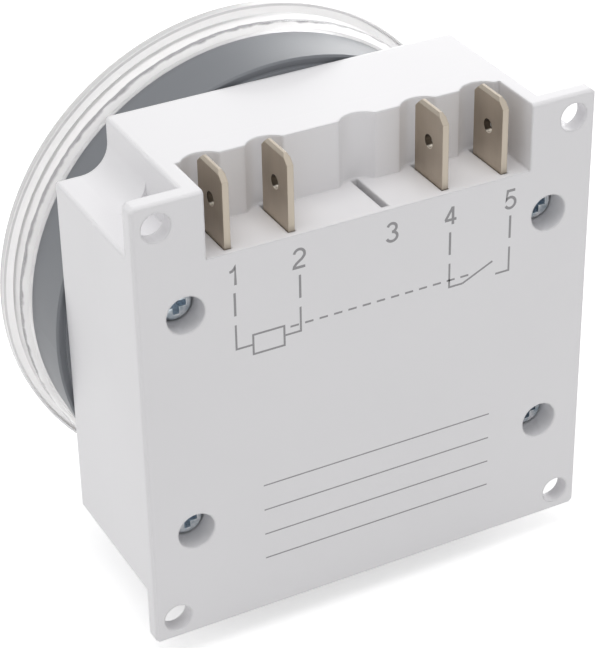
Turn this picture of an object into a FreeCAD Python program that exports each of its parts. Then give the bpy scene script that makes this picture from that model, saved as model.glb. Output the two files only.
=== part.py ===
import FreeCAD, Part

import math
import os

# Panel timer relay with a round front. Millimetres, +Z up.
# The origin is the centre of the flat rear face. The front faces -Y, and every
# depth below is measured forwards from the rear face.

V = FreeCAD.Vector

# White case
body_size = 60.0
body_depth = 21.8
seam_depth = 11.0
plate_thickness = 2.0
case_wall = 2.0
front_wall = 2.0
corner_notch = 6.75
notch_fillet = 3.6
plate_corner_bevel = 0.5
case_edge_bevel = 0.3
rear_edge_bevel = 0.3
tongue_thickness = 0.9
tongue_height = 1.2
tongue_clearance = 0.08
ear_hole_inset = 3.0
ear_hole_diameter = 3.6
wiring_opening_rim = 1.5

# Terminal recess in the top of the rear shell
recess_side_wall = 2.05
recess_height = 8.6
recess_depth = 7.4
recess_wall = 1.6
shelf_thickness = 2.0
scallop_radius = 3.0
scallop_depth = 1.2

# Push-on terminals
blade_width = 6.3
blade_thickness = 0.8
blade_reach = 9.5
blade_pitch = 8.05
outer_blade_inset = 3.1
blade_rear_inset = 0.95
blade_tip_chamfer = 1.15
blade_edge_bevel = 0.22
blade_hole_diameter = 1.6
blade_hole_drop = 4.5
slot_clearance = 0.1
slot_front_clearance = 1.1
foot_height = 3.6
foot_drop = 4.4
solder_pin_width = 1.2
solder_tail = 0.4
pin_hole_clearance = 0.15

# Case screws
screw_inset_x = 6.0
screw_inset_z = 15.0
counterbore_diameter = 4.8
screw_head_diameter = 4.4
screw_head_height = 2.0
screw_head_sink = 2.7
screw_head_bevel = 0.4
screw_shank_diameter = 2.6
screw_grip = 5.8
screw_hole_clearance = 0.15
pilot_clearance = 0.05
pilot_spare_depth = 0.8
cross_slot_width = 0.8
cross_slot_length = 2.6
cross_slot_depth = 1.2
case_boss_radius = 4.2

# Round grey housing
housing_overhang = 1.4
housing_taper = 0.4
housing_length = 9.4
housing_wall = 1.9
housing_neck_wall = 0.9
housing_neck_length = 0.5
housing_rear_bevel = 0.25
spigot_step = 0.8
spigot_height = 1.6
face_sink = 0.5
face_thickness = 1.6
face_margin = 1.6
housing_boss_radius = 2.9

# Seal and clear cover
seal_width = 0.6
seal_groove_depth = 0.45
seal_proud = 0.1
seal_shoulder = 0.35
seal_clearance = 0.05
cover_clearance = 0.3
cover_seat_gap = 0.2
cover_skirt_thickness = 1.55
cover_skirt_length = 3.55
cover_rear_bevel = 0.7
cover_rim_step = 1.25
cover_rim_thickness = 1.3
cover_rim_bevel = 0.3
cover_head_space = 3.8
cover_face_thickness = 1.8
cover_edge_bevel = 0.5

# Display
lcd_thickness = 2.2
lcd_gap = 0.2
lcd_fit = 0.2
lcd_holder_wall = 1.1
lcd_side_room = 0.7
lcd_corner_room = 1.6
lcd_key_room = 2.1
strip_width = 1.8
strip_height = 2.3
strip_inset = 0.2
strip_margin = 2.0
backlight_margin = 4.0
backlight_gap = 0.1
window_margin = 0.25
window_overlap = 1.75
window_thickness = 1.0
window_corner_radius = 1.5
window_fit = 0.2

# Keys
key_count = 4
key_height = 5.0
key_spacing = 3.0
key_row_overhang = 1.5
key_row_gap = 0.5
manual_key_width = 14.0
manual_key_height = 6.0
side_item_gap = 3.9
reset_key_diameter = 3.2
key_proud = 1.3
reset_key_sink = 0.3
key_clearance = 0.2
key_edge_bevel = 0.35
key_flange_margin = 1.0
key_flange_thickness = 0.8
key_flange_gap = 0.1
key_post_room = 0.6
key_travel = 0.8
key_stop_gap = 0.1
key_stem_width = 3.2
mat_thickness = 1.0
mat_collar_wall = 0.8
mat_collar_height = 1.2
mat_stem_clearance = 0.5
mat_edge_gap = 0.5
mat_side_gap = 0.7
mat_corner_bevel = 6.2
led_radius = 1.5
led_flange = 0.4
led_flange_height = 1.0
led_bevel = 0.5
led_sink = 0.2
led_clearance = 0.2

# Circuit boards and what they carry
board_thickness = 1.6
board_edge_gap = 0.4
power_board_standoff = 0.6
clamp_rib_width = 3.0
clamp_rib_gap = 1.55
clamp_rib_inset = 3.3
board_post_radius = 1.9
board_post_inset = 2.1
board_screw_radius = 0.9
board_screw_length = 3.6
board_screw_head_radius = 1.8
board_screw_head_height = 1.2
board_screw_spare_depth = 0.4
link_pin_count = 6
link_pin_pitch = 2.54
link_pin_width = 0.64
link_body_height = 2.5
link_drop = 3.0
chip_size = 8.0
chip_thickness = 1.4
chip_gap = 1.88
chip_drop = 3.5
crystal_radius = 1.5
crystal_length = 7.0
crystal_gap = 4.9
cell_radius = 10.0
cell_thickness = 3.2
cell_holder_wall = 0.9
cell_holder_floor = 0.6
cell_holder_height = 3.0
cell_fit = 0.2

# Power board components
component_edge_room = 5.0
component_drop = 2.75
film_capacitor_width = 17.5
film_capacitor_height = 7.5
film_capacitor_headroom = 2.1
small_can_radius = 4.0
small_can_headroom = 3.6
large_can_radius = 5.0
large_can_headroom = 2.6
varistor_radius = 4.5
varistor_thickness = 3.4
varistor_inset = 8.1
varistor_lead_length = 1.6
lead_width = 0.6
lead_overhang = 1.3
diode_length = 4.2
diode_width = 2.6
diode_height = 2.2
diode_tab_width = 1.4
diode_tab_reach = 1.0
diode_tab_thickness = 0.3
diode_pitch = 8.2
diode_count = 4
diode_rib_gap = 0.15
resistor_radius = 1.2
resistor_length = 6.2
resistor_pitch = 13.0
resistor_count = 2
resistor_shift = 1.5
resistor_z = -3.2
resistor_lift = 0.05

# Relay
relay_width = 29.0
relay_height = 12.6
relay_headroom = 0.6
relay_cover_wall = 0.6
relay_cover_lift = 0.2
relay_base_thickness = 1.4
relay_base_clearance = 0.1
yoke_thickness = 1.2
yoke_width = 8.0
yoke_end_gap = 0.3
bobbin_flange_radius = 5.2
bobbin_flange_thickness = 0.7
bobbin_barrel_radius = 2.3
winding_radius = 4.7
core_radius = 1.6
core_fit = 0.08
pole_radius = 2.8
pole_thickness = 0.55
coil_centre_x = 6.0
armature_thickness = 1.2
armature_width = 8.4
armature_head_room = 2.2
armature_air_gap = 0.05
armature_angle = 2.3
armature_reach = 11.6
arm_thickness = 0.3
arm_width = 4.0
arm_overlap = 8.0
contact_radius = 1.5
contact_height = 0.8
contact_x = -11.0
contact_gap_closed = 0.05
contact_strip_thickness = 0.6
contact_strip_width = 5.0
contact_strip_inset = 0.5
relay_pin_width = 0.8
relay_pin_inset = 1.0
contact_pin_x = -3.0

# How far a cutting body runs past the face that it cuts
overrun = 1.0

# Outline and terminals, worked out from the sizes above
body_half = body_size / 2
notch_face = body_half - corner_notch
screw_x = body_half - screw_inset_x
screw_z = body_half - screw_inset_z
screw_places = [(sx * screw_x, sz * screw_z) for sx in (-1, 1) for sz in (-1, 1)]
screw_circle = math.hypot(screw_x, screw_z)
ear_hole_place = body_half - ear_hole_inset
recess_half = notch_face - recess_side_wall
shelf_z = body_half - recess_height
shelf_bottom = shelf_z - shelf_thickness
scallop_bottom = recess_depth + scallop_depth
recess_block_depth = scallop_bottom + recess_wall
outer_blade_x = recess_half - outer_blade_inset
terminal_places = {
    "1": outer_blade_x,
    "2": outer_blade_x - blade_pitch,
    "4": -outer_blade_x + blade_pitch,
    "5": -outer_blade_x,
}
empty_slot_x = -outer_blade_x + 2 * blade_pitch
slot_places = [*terminal_places.values(), empty_slot_x]
blade_front = blade_rear_inset + blade_width
foot_low = shelf_bottom - foot_drop
wiring_opening_radius = screw_circle - case_boss_radius - wiring_opening_rim

# Depths, from the rear face to the front
seat_depth = screw_head_sink + screw_head_height
case_floor_depth = body_depth - front_wall
power_front = case_floor_depth - power_board_standoff
power_rear = power_front - board_thickness
screw_tip = body_depth + screw_grip
shoulder_depth = body_depth + housing_length
spigot_depth = shoulder_depth + spigot_height
face_depth = spigot_depth - face_sink
face_inner = face_depth - face_thickness
lcd_front = face_inner - lcd_gap
lcd_rear = lcd_front - lcd_thickness
control_front = lcd_rear - strip_height
control_rear = control_front - board_thickness
key_flange_front = face_inner - key_flange_gap
key_flange_rear = key_flange_front - key_flange_thickness
key_stem_front = control_front + key_travel + key_stop_gap
cover_rear = shoulder_depth + cover_seat_gap
cover_rim_rear = cover_rear + cover_skirt_length
cover_rim_front = cover_rim_rear + cover_rim_thickness
cover_inner_face = cover_rear + cover_head_space
cover_front = cover_inner_face + cover_face_thickness

# Round parts
housing_radius = body_half + housing_overhang
housing_front_radius = housing_radius - housing_taper
housing_bore = housing_radius - housing_wall
housing_neck_radius = housing_bore + housing_neck_wall
spigot_radius = housing_front_radius - spigot_step
cover_bore = spigot_radius + cover_clearance
cover_skirt_radius = cover_bore + cover_skirt_thickness
cover_rim_radius = cover_skirt_radius + cover_rim_step
control_board_radius = screw_circle - housing_boss_radius - board_edge_gap
board_post_circle = control_board_radius - board_post_inset

# Front layout: the lower keys above the lowest board post, then the key row, then the display
key_overlap = key_height / 2 + key_flange_margin
manual_key_overlap = manual_key_height / 2 + key_flange_margin
lower_row_z = -(board_post_circle - board_post_radius - key_post_room - manual_key_overlap)
key_row_z = lower_row_z + manual_key_overlap + key_row_gap + key_overlap
side_item_x = manual_key_width / 2 + side_item_gap + reset_key_diameter / 2 + 2 * key_flange_margin
holder_half = board_post_circle - board_post_radius - lcd_side_room
holder_low = key_row_z + key_overlap + lcd_key_room
holder_high = math.sqrt(housing_bore**2 - holder_half**2) - lcd_corner_room
lcd_inset = lcd_holder_wall + lcd_fit
lcd_width = 2 * (holder_half - lcd_inset)
lcd_height = holder_high - holder_low - 2 * lcd_inset
lcd_centre_z = (holder_high + holder_low) / 2
key_row_width = lcd_width + 2 * key_row_overhang
key_width = (key_row_width - (key_count - 1) * key_spacing) / key_count
key_pitch = key_width + key_spacing

# Boards and components
clamp_rib_x = notch_face - case_wall - clamp_rib_gap - clamp_rib_width / 2
clamp_rib_z = body_half - clamp_rib_inset - clamp_rib_width / 2
link_z = foot_low - link_drop
link_half = link_pin_count * link_pin_pitch / 2
chip_x = -(link_half + chip_gap + chip_size / 2)
chip_z = link_z - chip_drop
crystal_x = link_half + crystal_gap + crystal_radius
cell_z = (link_z - link_body_height / 2 - board_post_circle + board_screw_head_radius) / 2
component_top_z = link_z - component_drop
varistor_x = -(body_half - varistor_inset)
varistor_face = varistor_x + varistor_thickness / 2
component_row_end = body_half - component_edge_room
component_widths = film_capacitor_width + 2 * small_can_radius + 2 * large_can_radius
component_gap = (component_row_end - varistor_face - component_widths) / 4
film_capacitor_x = varistor_face + component_gap + film_capacitor_width / 2
film_capacitor_z = component_top_z - film_capacitor_height / 2
large_can_x = component_row_end - component_gap - large_can_radius
small_can_x = large_can_x - large_can_radius - component_gap - small_can_radius
resistor_x = film_capacitor_x + resistor_shift
diode_z = -(clamp_rib_z - clamp_rib_width / 2 - diode_rib_gap - diode_width / 2)
relay_z = (resistor_z - resistor_radius + diode_z + diode_width / 2) / 2

pieces = {}


# Drawing helpers
def in_front_view(across, up):
    return V(across, 0, up)


def in_side_view(depth, up):
    return V(0, -depth, up)


def in_section(radius, depth):
    return V(radius, -depth, 0)


def outline(corners, view):
    """Closed face through corners (a, b, cut); a cut above 0 rounds the corner, below 0 bevels it."""
    points = [V(a, b, 0) for a, b, cut in corners]
    trimmed = []
    for index, (a, b, cut) in enumerate(corners):
        corner = points[index]
        back = (points[index - 1] - corner).normalize()
        ahead = (points[(index + 1) % len(points)] - corner).normalize()
        if cut > 0:
            half_angle = back.getAngle(ahead) / 2
            run = cut / math.tan(half_angle)
            inward = (back + ahead).normalize()
            middle = corner + inward * (cut / math.sin(half_angle) - cut)
            trimmed.append((corner + back * run, middle, corner + ahead * run))
        else:
            trimmed.append((corner - back * cut, None, corner - ahead * cut))
    edges = []
    for index, (start, middle, end) in enumerate(trimmed):
        following = trimmed[(index + 1) % len(trimmed)][0]
        if middle is not None:
            arc = Part.Arc(view(start.x, start.y), view(middle.x, middle.y), view(end.x, end.y))
            edges.append(arc.toShape())
        for a, b in ((start, end), (end, following)):
            if (b - a).Length > 1e-6 and (middle is None or a is end):
                edges.append(Part.LineSegment(view(a.x, a.y), view(b.x, b.y)).toShape())
    return Part.Face(Part.Wire(edges))


def rectangle(x, z, width, height, cut):
    half_w = width / 2
    half_h = height / 2
    signs = ((-1, -1), (1, -1), (1, 1), (-1, 1))
    corners = [(x + sx * half_w, z + sz * half_h, cut) for sx, sz in signs]
    return outline(corners, in_front_view)


def obround(x, z, width, height):
    return rectangle(x, z, width, height, height / 2)


def cross_outline(half, notch, outer_cut, inner_cut):
    """Square of this half width with its four corners notched out."""
    near = half - notch
    quarter = [(half, near, outer_cut), (near, near, inner_cut), (near, half, outer_cut)]
    corners = []
    for turn in range(4):
        cosine = round(math.cos(turn * math.pi / 2))
        sine = round(math.sin(turn * math.pi / 2))
        for a, b, cut in quarter:
            corners.append((a * cosine - b * sine, a * sine + b * cosine, cut))
    return outline(corners, in_front_view)


def slab(face, rear, front):
    """Solid of a front-view face between two depths."""
    moved = face.copy()
    moved.translate(V(0, -front, 0))
    return moved.extrude(V(0, front - rear, 0))


def block(x_low, x_high, rear, front, z_low, z_high):
    return Part.makeBox(x_high - x_low, front - rear, z_high - z_low, V(x_low, -front, z_low))


def bar(x, z, width, rear, front):
    """Square bar about (x, z) between two depths."""
    half = width / 2
    return block(x - half, x + half, rear, front, z - half, z + half)


def rod(x, z, radius, rear, front):
    return Part.makeCylinder(radius, front - rear, V(x, -front, z), V(0, 1, 0))


def turned(corners):
    """Solid turned about the centre line from corners (radius, depth, cut)."""
    return outline(corners, in_section).revolve(V(0, 0, 0), V(0, 1, 0), 360)


def joined(shapes):
    whole = shapes[0].fuse(shapes[1:])
    return whole.removeSplitter()


def without(shape, tools):
    return shape.cut(tools)


# White case, two shells that meet at the seam
def screw_bosses(rear, front, radius):
    return [rod(x, z, radius, rear, front) for x, z in screw_places]


def screw_holes(rear, front):
    radius = screw_shank_diameter / 2 + screw_hole_clearance
    return [rod(x, z, radius, rear, front) for x, z in screw_places]


def clamp_ribs(rear, front, rows):
    places = [(side * clamp_rib_x, z) for side in (-1, 1) for z in rows]
    return [bar(x, z, clamp_rib_width, rear, front) for x, z in places]


def make_rear_plate():
    plate = slab(rectangle(0, 0, body_size, body_size, -plate_corner_bevel), 0, plate_thickness)
    rim = [edge for edge in plate.Edges if edge.BoundBox.YMin > -1e-6]
    return plate.makeChamfer(rear_edge_bevel, rim)


def ear_holes():
    signs = (-1, 1)
    places = [(sx * ear_hole_place, sz * ear_hole_place) for sx in signs for sz in signs]
    return [rod(x, z, ear_hole_diameter / 2, -overrun, plate_thickness + overrun) for x, z in places]


def terminal_slots():
    half = blade_thickness / 2 + slot_clearance
    rear = blade_rear_inset - slot_clearance
    front = blade_front + slot_front_clearance
    low = shelf_bottom - slot_clearance
    return [block(x - half, x + half, rear, front, low, shelf_z + overrun) for x in slot_places]


def scallops():
    height = recess_height + overrun
    depth = scallop_bottom - scallop_radius
    return [Part.makeCylinder(scallop_radius, height, V(x, -depth, shelf_z)) for x in slot_places]


def tongue_rebate():
    inner_half = body_half - case_wall
    outer_half = inner_half + tongue_thickness + tongue_clearance
    core_half = inner_half - tongue_clearance
    rear = seam_depth - tongue_height - tongue_clearance
    ring = slab(cross_outline(outer_half, corner_notch, 0, 0), rear, seam_depth + overrun)
    core = slab(cross_outline(core_half, corner_notch, 0, 0), rear - overrun, seam_depth + 2 * overrun)
    return without(ring, [core])


def make_rear_case():
    in_plate = plate_thickness / 2
    outer = cross_outline(body_half, corner_notch, -case_edge_bevel, 0)
    inner = cross_outline(body_half - case_wall, corner_notch, 0, 0)
    walls = joined([make_rear_plate(), slab(outer, in_plate, seam_depth)])
    shell = without(walls, [slab(inner, plate_thickness, seam_depth + overrun)])
    sides = recess_half + recess_side_wall / 2
    top = body_half - case_wall / 2
    added = [block(-sides, sides, in_plate, recess_block_depth, shelf_bottom, top)]
    added += screw_bosses(in_plate, seam_depth, case_boss_radius)
    added += clamp_ribs(in_plate, power_rear, (-clamp_rib_z,))
    added += clamp_ribs(recess_block_depth - recess_wall / 2, power_rear, (clamp_rib_z,))
    shell = joined([shell] + added)
    tools = [block(-recess_half, recess_half, -overrun, recess_depth, shelf_z, body_half + overrun)]
    tools += scallops()
    tools += terminal_slots()
    tools.append(tongue_rebate())
    tools += screw_bosses(-overrun, seat_depth, counterbore_diameter / 2)
    tools += screw_holes(0, seam_depth + overrun)
    tools += ear_holes()
    return without(shell, tools)


def make_tongue():
    inner_half = body_half - case_wall
    rear = seam_depth - tongue_height
    root = seam_depth + tongue_height / 2
    outer = cross_outline(inner_half + tongue_thickness, corner_notch, 0, 0)
    inner = cross_outline(inner_half, corner_notch, 0, 0)
    return without(slab(outer, rear, root), [slab(inner, rear - overrun, root + overrun)])


def make_front_case():
    inner_half = body_half - case_wall
    outer = cross_outline(body_half, corner_notch, -case_edge_bevel, notch_fillet)
    inner = cross_outline(inner_half, corner_notch, 0, notch_fillet + case_wall)
    hollow = slab(inner, seam_depth - overrun, case_floor_depth)
    shell = without(slab(outer, seam_depth, body_depth), [hollow])
    added = [make_tongue()]
    added += screw_bosses(seam_depth, body_depth, case_boss_radius)
    added += clamp_ribs(power_front, body_depth - front_wall / 2, (-clamp_rib_z, clamp_rib_z))
    shell = joined([shell] + added)
    tools = screw_holes(seam_depth - overrun, body_depth + overrun)
    tools.append(rod(0, 0, wiring_opening_radius, case_floor_depth - overrun, body_depth + overrun))
    return without(shell, tools)


# Self-tapping case screws, all four in one node
def make_case_screw(x, z):
    head_radius = screw_head_diameter / 2
    shank_radius = screw_shank_diameter / 2
    rear = screw_head_sink
    profile = [
        (0, rear, 0),
        (head_radius, rear, -screw_head_bevel),
        (head_radius, seat_depth, 0),
        (shank_radius, seat_depth, 0),
        (shank_radius, screw_tip, 0),
        (0, screw_tip, 0),
    ]
    screw = turned(profile)
    half_length = cross_slot_length / 2
    half_width = cross_slot_width / 2
    bottom = rear + cross_slot_depth
    across = block(-half_length, half_length, rear - overrun, bottom, -half_width, half_width)
    upright = block(-half_width, half_width, rear - overrun, bottom, -half_length, half_length)
    screw = without(screw, [across, upright])
    screw.translate(V(x, 0, z))
    return screw


# Push-on terminal: blade above the shelf, foot and two solder pins on the power board
def blade_bevels(x, top):
    bevels = []
    for side in (-1, 1):
        face_x = x + side * blade_thickness / 2
        cut_x = face_x - side * blade_edge_bevel
        corners = [
            V(face_x, overrun, top + overrun),
            V(face_x, overrun, top - 2 * blade_edge_bevel),
            V(cut_x, overrun, top),
            V(cut_x, overrun, top + overrun),
        ]
        bevel = Part.Face(Part.makePolygon(corners + corners[:1]))
        bevels.append(bevel.extrude(V(0, -blade_front - 2 * overrun, 0)))
    return bevels


def make_terminal(x):
    top = shelf_z + blade_reach
    foot_high = foot_low + foot_height
    foot_rear = plate_thickness + slot_clearance
    profile = [
        (foot_rear, foot_low, 0),
        (power_rear, foot_low, 0),
        (power_rear, foot_high, 0),
        (blade_front, foot_high, 0),
        (blade_front, top, -blade_tip_chamfer),
        (blade_rear_inset, top, -blade_tip_chamfer),
        (blade_rear_inset, shelf_bottom, 0),
        (foot_rear, shelf_bottom, 0),
    ]
    half = blade_thickness / 2
    strip = outline(profile, in_side_view)
    strip.translate(V(x - half, 0, 0))
    blade = strip.extrude(V(blade_thickness, 0, 0))
    in_foot = power_rear - board_thickness / 2
    tail = power_front + solder_tail
    pins = [
        block(x - half, x + half, in_foot, tail, low, low + solder_pin_width)
        for low in (foot_low, foot_high - solder_pin_width)
    ]
    hole_start = V(x - half - overrun, -(blade_rear_inset + blade_front) / 2, top - blade_hole_drop)
    hole_length = blade_thickness + 2 * overrun
    hole = Part.makeCylinder(blade_hole_diameter / 2, hole_length, hole_start, V(1, 0, 0))
    return without(joined([blade] + pins), [hole] + blade_bevels(x, top))


# Round grey housing behind the clear cover
def key_places():
    first = -(key_count - 1) / 2 * key_pitch
    return [(first + index * key_pitch, key_row_z) for index in range(key_count)]


def board_post_places():
    angles = [math.radians(degrees) for degrees in (0, 180, 270)]
    return [(board_post_circle * math.cos(a), board_post_circle * math.sin(a)) for a in angles]


def face_openings():
    rear = face_inner - overrun
    front = face_depth + overrun
    gap = 2 * key_clearance
    tools = [slab(obround(x, z, key_width + gap, key_height + gap), rear, front) for x, z in key_places()]
    tools.append(slab(obround(0, lower_row_z, manual_key_width + gap, manual_key_height + gap), rear, front))
    tools.append(rod(side_item_x, lower_row_z, reset_key_diameter / 2 + key_clearance, rear, front))
    tools.append(rod(-side_item_x, lower_row_z, led_radius + led_clearance, rear, front))
    return tools


def window_face(margin, corner):
    width = lcd_width + 2 * margin
    height = lcd_height - 2 * window_overlap + 2 * margin
    return rectangle(0, lcd_centre_z, width, height, corner)


def window_openings():
    pane = window_face(window_margin + window_fit, window_corner_radius)
    view = window_face(-window_overlap, window_corner_radius)
    return [
        slab(pane, face_depth - window_thickness, face_depth + overrun),
        slab(view, face_inner - overrun, face_depth + overrun),
    ]


def seal_groove():
    rear = shoulder_depth + seal_shoulder
    front = rear + seal_width + 2 * seal_clearance
    ring = rod(0, 0, spigot_radius + overrun, rear, front)
    return without(ring, [rod(0, 0, spigot_radius - seal_groove_depth, rear - overrun, front + overrun)])


def make_front_housing():
    neck_depth = body_depth + housing_neck_length
    profile = [
        (housing_bore, body_depth, 0),
        (housing_neck_radius, body_depth, 0),
        (housing_neck_radius, neck_depth, 0),
        (housing_radius, neck_depth, -housing_rear_bevel),
        (housing_front_radius, shoulder_depth, 0),
        (spigot_radius, shoulder_depth, 0),
        (spigot_radius, spigot_depth, 0),
        (spigot_radius - face_margin, spigot_depth, 0),
        (spigot_radius - face_margin, face_depth, 0),
        (0, face_depth, 0),
        (0, face_inner, 0),
        (housing_bore, face_inner, 0),
    ]
    in_face = face_inner + face_thickness / 2
    within = rod(0, 0, housing_bore + housing_neck_wall / 2, body_depth, in_face)
    bosses = [boss.common(within) for boss in screw_bosses(body_depth, in_face, housing_boss_radius)]
    posts = [rod(x, z, board_post_radius, control_front, in_face) for x, z in board_post_places()]
    shell = joined([turned(profile)] + bosses + posts)
    pilot = screw_shank_diameter / 2 + pilot_clearance
    tools = screw_bosses(body_depth - overrun, screw_tip + pilot_spare_depth, pilot)
    small_end = control_rear + board_screw_length + board_screw_spare_depth
    small_pilot = board_screw_radius + pilot_clearance
    tools += [rod(x, z, small_pilot, control_front - overrun, small_end) for x, z in board_post_places()]
    tools += face_openings()
    tools += window_openings()
    tools.append(seal_groove())
    return without(shell, tools)


def make_display_window():
    return slab(window_face(window_margin, window_corner_radius), face_depth - window_thickness, face_depth)


# Clear cover and the rubber ring that holds it
def make_cover_seal():
    rear = shoulder_depth + seal_shoulder + seal_clearance
    inner = spigot_radius - seal_groove_depth + seal_clearance
    outer = spigot_radius + seal_proud
    front = rear + seal_width
    return turned([(inner, rear, 0), (outer, rear, 0), (outer, front, 0), (inner, front, 0)])


def make_clear_cover():
    profile = [
        (cover_bore, cover_rear, 0),
        (cover_skirt_radius, cover_rear, -cover_rear_bevel),
        (cover_skirt_radius, cover_rim_rear, 0),
        (cover_rim_radius, cover_rim_rear, -cover_rim_bevel),
        (cover_rim_radius, cover_rim_front, 0),
        (cover_rim_radius - cover_edge_bevel, cover_front, 0),
        (0, cover_front, 0),
        (0, cover_inner_face, 0),
        (cover_bore, cover_inner_face, 0),
    ]
    return turned(profile)


# Keys: cap, flange behind the face and square stem above the control board
def make_key(x, z, width, height):
    front = face_depth + key_proud
    cap = slab(obround(x, z, width, height), key_flange_rear, front)
    rim = [edge for edge in cap.Edges if abs(edge.BoundBox.YMax + front) < 1e-4]
    cap = cap.makeChamfer(key_edge_bevel, rim)
    spread = 2 * key_flange_margin
    flange = slab(rectangle(x, z, width + spread, height + spread, 0), key_flange_rear, key_flange_front)
    stem = bar(x, z, key_stem_width, key_stem_front, key_flange_front)
    return joined([cap, flange, stem])


def make_reset_key():
    radius = reset_key_diameter / 2
    flange_radius = radius + key_flange_margin
    key = rod(side_item_x, lower_row_z, radius, key_stem_front, face_depth - reset_key_sink)
    flange = rod(side_item_x, lower_row_z, flange_radius, key_flange_rear, key_flange_front)
    return joined([key, flange])


def make_key_mat():
    rear = control_front
    front = rear + mat_thickness
    collar_front = front + mat_collar_height
    half = screw_x - housing_boss_radius - mat_side_gap
    low = -(board_post_circle - board_post_radius - mat_stem_clearance)
    high = holder_low - mat_edge_gap
    corner = -mat_corner_bevel
    corners = [(-half, low, corner), (half, low, corner), (half, high, 0), (-half, high, 0)]
    solids = [slab(outline(corners, in_front_view), rear, front)]
    tools = []
    hole = key_stem_width + 2 * mat_stem_clearance
    for x, z in key_places() + [(0, lower_row_z)]:
        solids.append(bar(x, z, hole + 2 * mat_collar_wall, rear, collar_front))
        tools.append(bar(x, z, hole, rear - overrun, collar_front + overrun))
    round_hole = reset_key_diameter / 2 + mat_stem_clearance
    solids.append(rod(side_item_x, lower_row_z, round_hole + mat_collar_wall, rear, collar_front))
    tools.append(rod(side_item_x, lower_row_z, round_hole, rear - overrun, collar_front + overrun))
    led_hole = led_radius + led_flange + mat_stem_clearance
    tools.append(rod(-side_item_x, lower_row_z, led_hole, rear - overrun, front + overrun))
    return without(joined(solids), tools)


def make_status_led():
    profile = [
        (0, control_front, 0),
        (led_radius + led_flange, control_front, 0),
        (led_radius + led_flange, control_front + led_flange_height, 0),
        (led_radius, control_front + led_flange_height, 0),
        (led_radius, face_depth - led_sink, -led_bevel),
        (0, face_depth - led_sink, 0),
    ]
    led = turned(profile)
    led.translate(V(-side_item_x, 0, lower_row_z))
    return led


# Display stack on the control board
def strip_places():
    offset = lcd_height / 2 - strip_inset - strip_width / 2
    return [lcd_centre_z - offset, lcd_centre_z + offset]


def strip_face(z, gap):
    width = lcd_width - 2 * strip_margin + 2 * gap
    return rectangle(0, z, width, strip_width + 2 * gap, 0)


def backlight_face(gap):
    width = lcd_width - 2 * strip_margin + 2 * gap
    height = lcd_height - 2 * backlight_margin + 2 * gap
    return rectangle(0, lcd_centre_z, width, height, 0)


def lcd_face(gap):
    return rectangle(0, lcd_centre_z, lcd_width + 2 * gap, lcd_height + 2 * gap, 0)


def make_lcd_glass():
    return slab(lcd_face(0), lcd_rear, lcd_front)


def make_zebra_strips():
    return Part.makeCompound([slab(strip_face(z, 0), control_front, lcd_rear) for z in strip_places()])


def make_backlight():
    return slab(backlight_face(0), control_front, lcd_rear - backlight_gap)


def make_lcd_holder():
    frame = slab(lcd_face(lcd_inset), control_front, face_inner)
    tools = [slab(lcd_face(lcd_fit), lcd_rear, face_inner + overrun)]
    for face in [backlight_face(lcd_fit)] + [strip_face(z, lcd_fit) for z in strip_places()]:
        tools.append(slab(face, control_front - overrun, lcd_rear + overrun))
    return without(frame, tools)


# Control board and its parts
def link_pin_places():
    first = -(link_pin_count - 1) / 2 * link_pin_pitch
    return [(first + index * link_pin_pitch, link_z) for index in range(link_pin_count)]


def pin_holes(places, pin_width, rear, front):
    width = pin_width + 2 * pin_hole_clearance
    return [bar(x, z, width, rear - overrun, front + overrun) for x, z in places]


def make_control_board():
    board = rod(0, 0, control_board_radius, control_rear, control_front)
    tools = pin_holes(link_pin_places(), link_pin_width, control_rear, control_front)
    hole = board_screw_radius + screw_hole_clearance
    for x, z in board_post_places():
        tools.append(rod(x, z, hole, control_rear - overrun, control_front + overrun))
    return without(board, tools)


def make_board_screw(x, z):
    head = rod(x, z, board_screw_head_radius, control_rear - board_screw_head_height, control_rear)
    shank = rod(x, z, board_screw_radius, control_rear, control_rear + board_screw_length)
    return joined([head, shank])


def make_link_pins():
    rear = power_rear - solder_tail
    return Part.makeCompound([bar(x, z, link_pin_width, rear, control_front) for x, z in link_pin_places()])


def make_link_body():
    body = slab(rectangle(0, link_z, 2 * link_half, link_body_height, 0), power_front, control_rear)
    return without(body, pin_holes(link_pin_places(), link_pin_width, power_front, control_rear))


def make_processor_chip():
    return bar(chip_x, chip_z, chip_size, control_rear - chip_thickness, control_rear)


def make_crystal():
    start = V(crystal_x, -control_rear + crystal_radius, link_z - link_body_height - crystal_length)
    return Part.makeCylinder(crystal_radius, crystal_length, start)


def make_cell_holder():
    inner = cell_radius + cell_fit
    rear = control_rear - cell_holder_height
    cup = rod(0, cell_z, inner + cell_holder_wall, rear, control_rear)
    return without(cup, [rod(0, cell_z, inner, rear - overrun, control_rear - cell_holder_floor)])


def make_backup_cell():
    front = control_rear - cell_holder_floor
    return rod(0, cell_z, cell_radius, front - cell_thickness, front)


# Power board and its parts
def terminal_pin_holes():
    half = blade_thickness / 2 + pin_hole_clearance
    rear = power_rear - overrun
    front = power_front + overrun
    tools = []
    for x in terminal_places.values():
        for pin_low in (foot_low, foot_low + foot_height - solder_pin_width):
            low = pin_low - pin_hole_clearance
            high = pin_low + solder_pin_width + pin_hole_clearance
            tools.append(block(x - half, x + half, rear, front, low, high))
    return tools


def row_places(middle, count, pitch):
    first = middle - (count - 1) / 2 * pitch
    return [first + index * pitch for index in range(count)]


def resistor_leads(x):
    reach = resistor_length / 2 + lead_overhang
    return [(x - reach, resistor_z), (x + reach, resistor_z)]


def varistor_leads():
    reach = varistor_radius / 2
    return [(varistor_x, -reach), (varistor_x, reach)]


def component_lead_places():
    places = varistor_leads()
    for x in row_places(resistor_x, resistor_count, resistor_pitch):
        places += resistor_leads(x)
    return places


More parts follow.
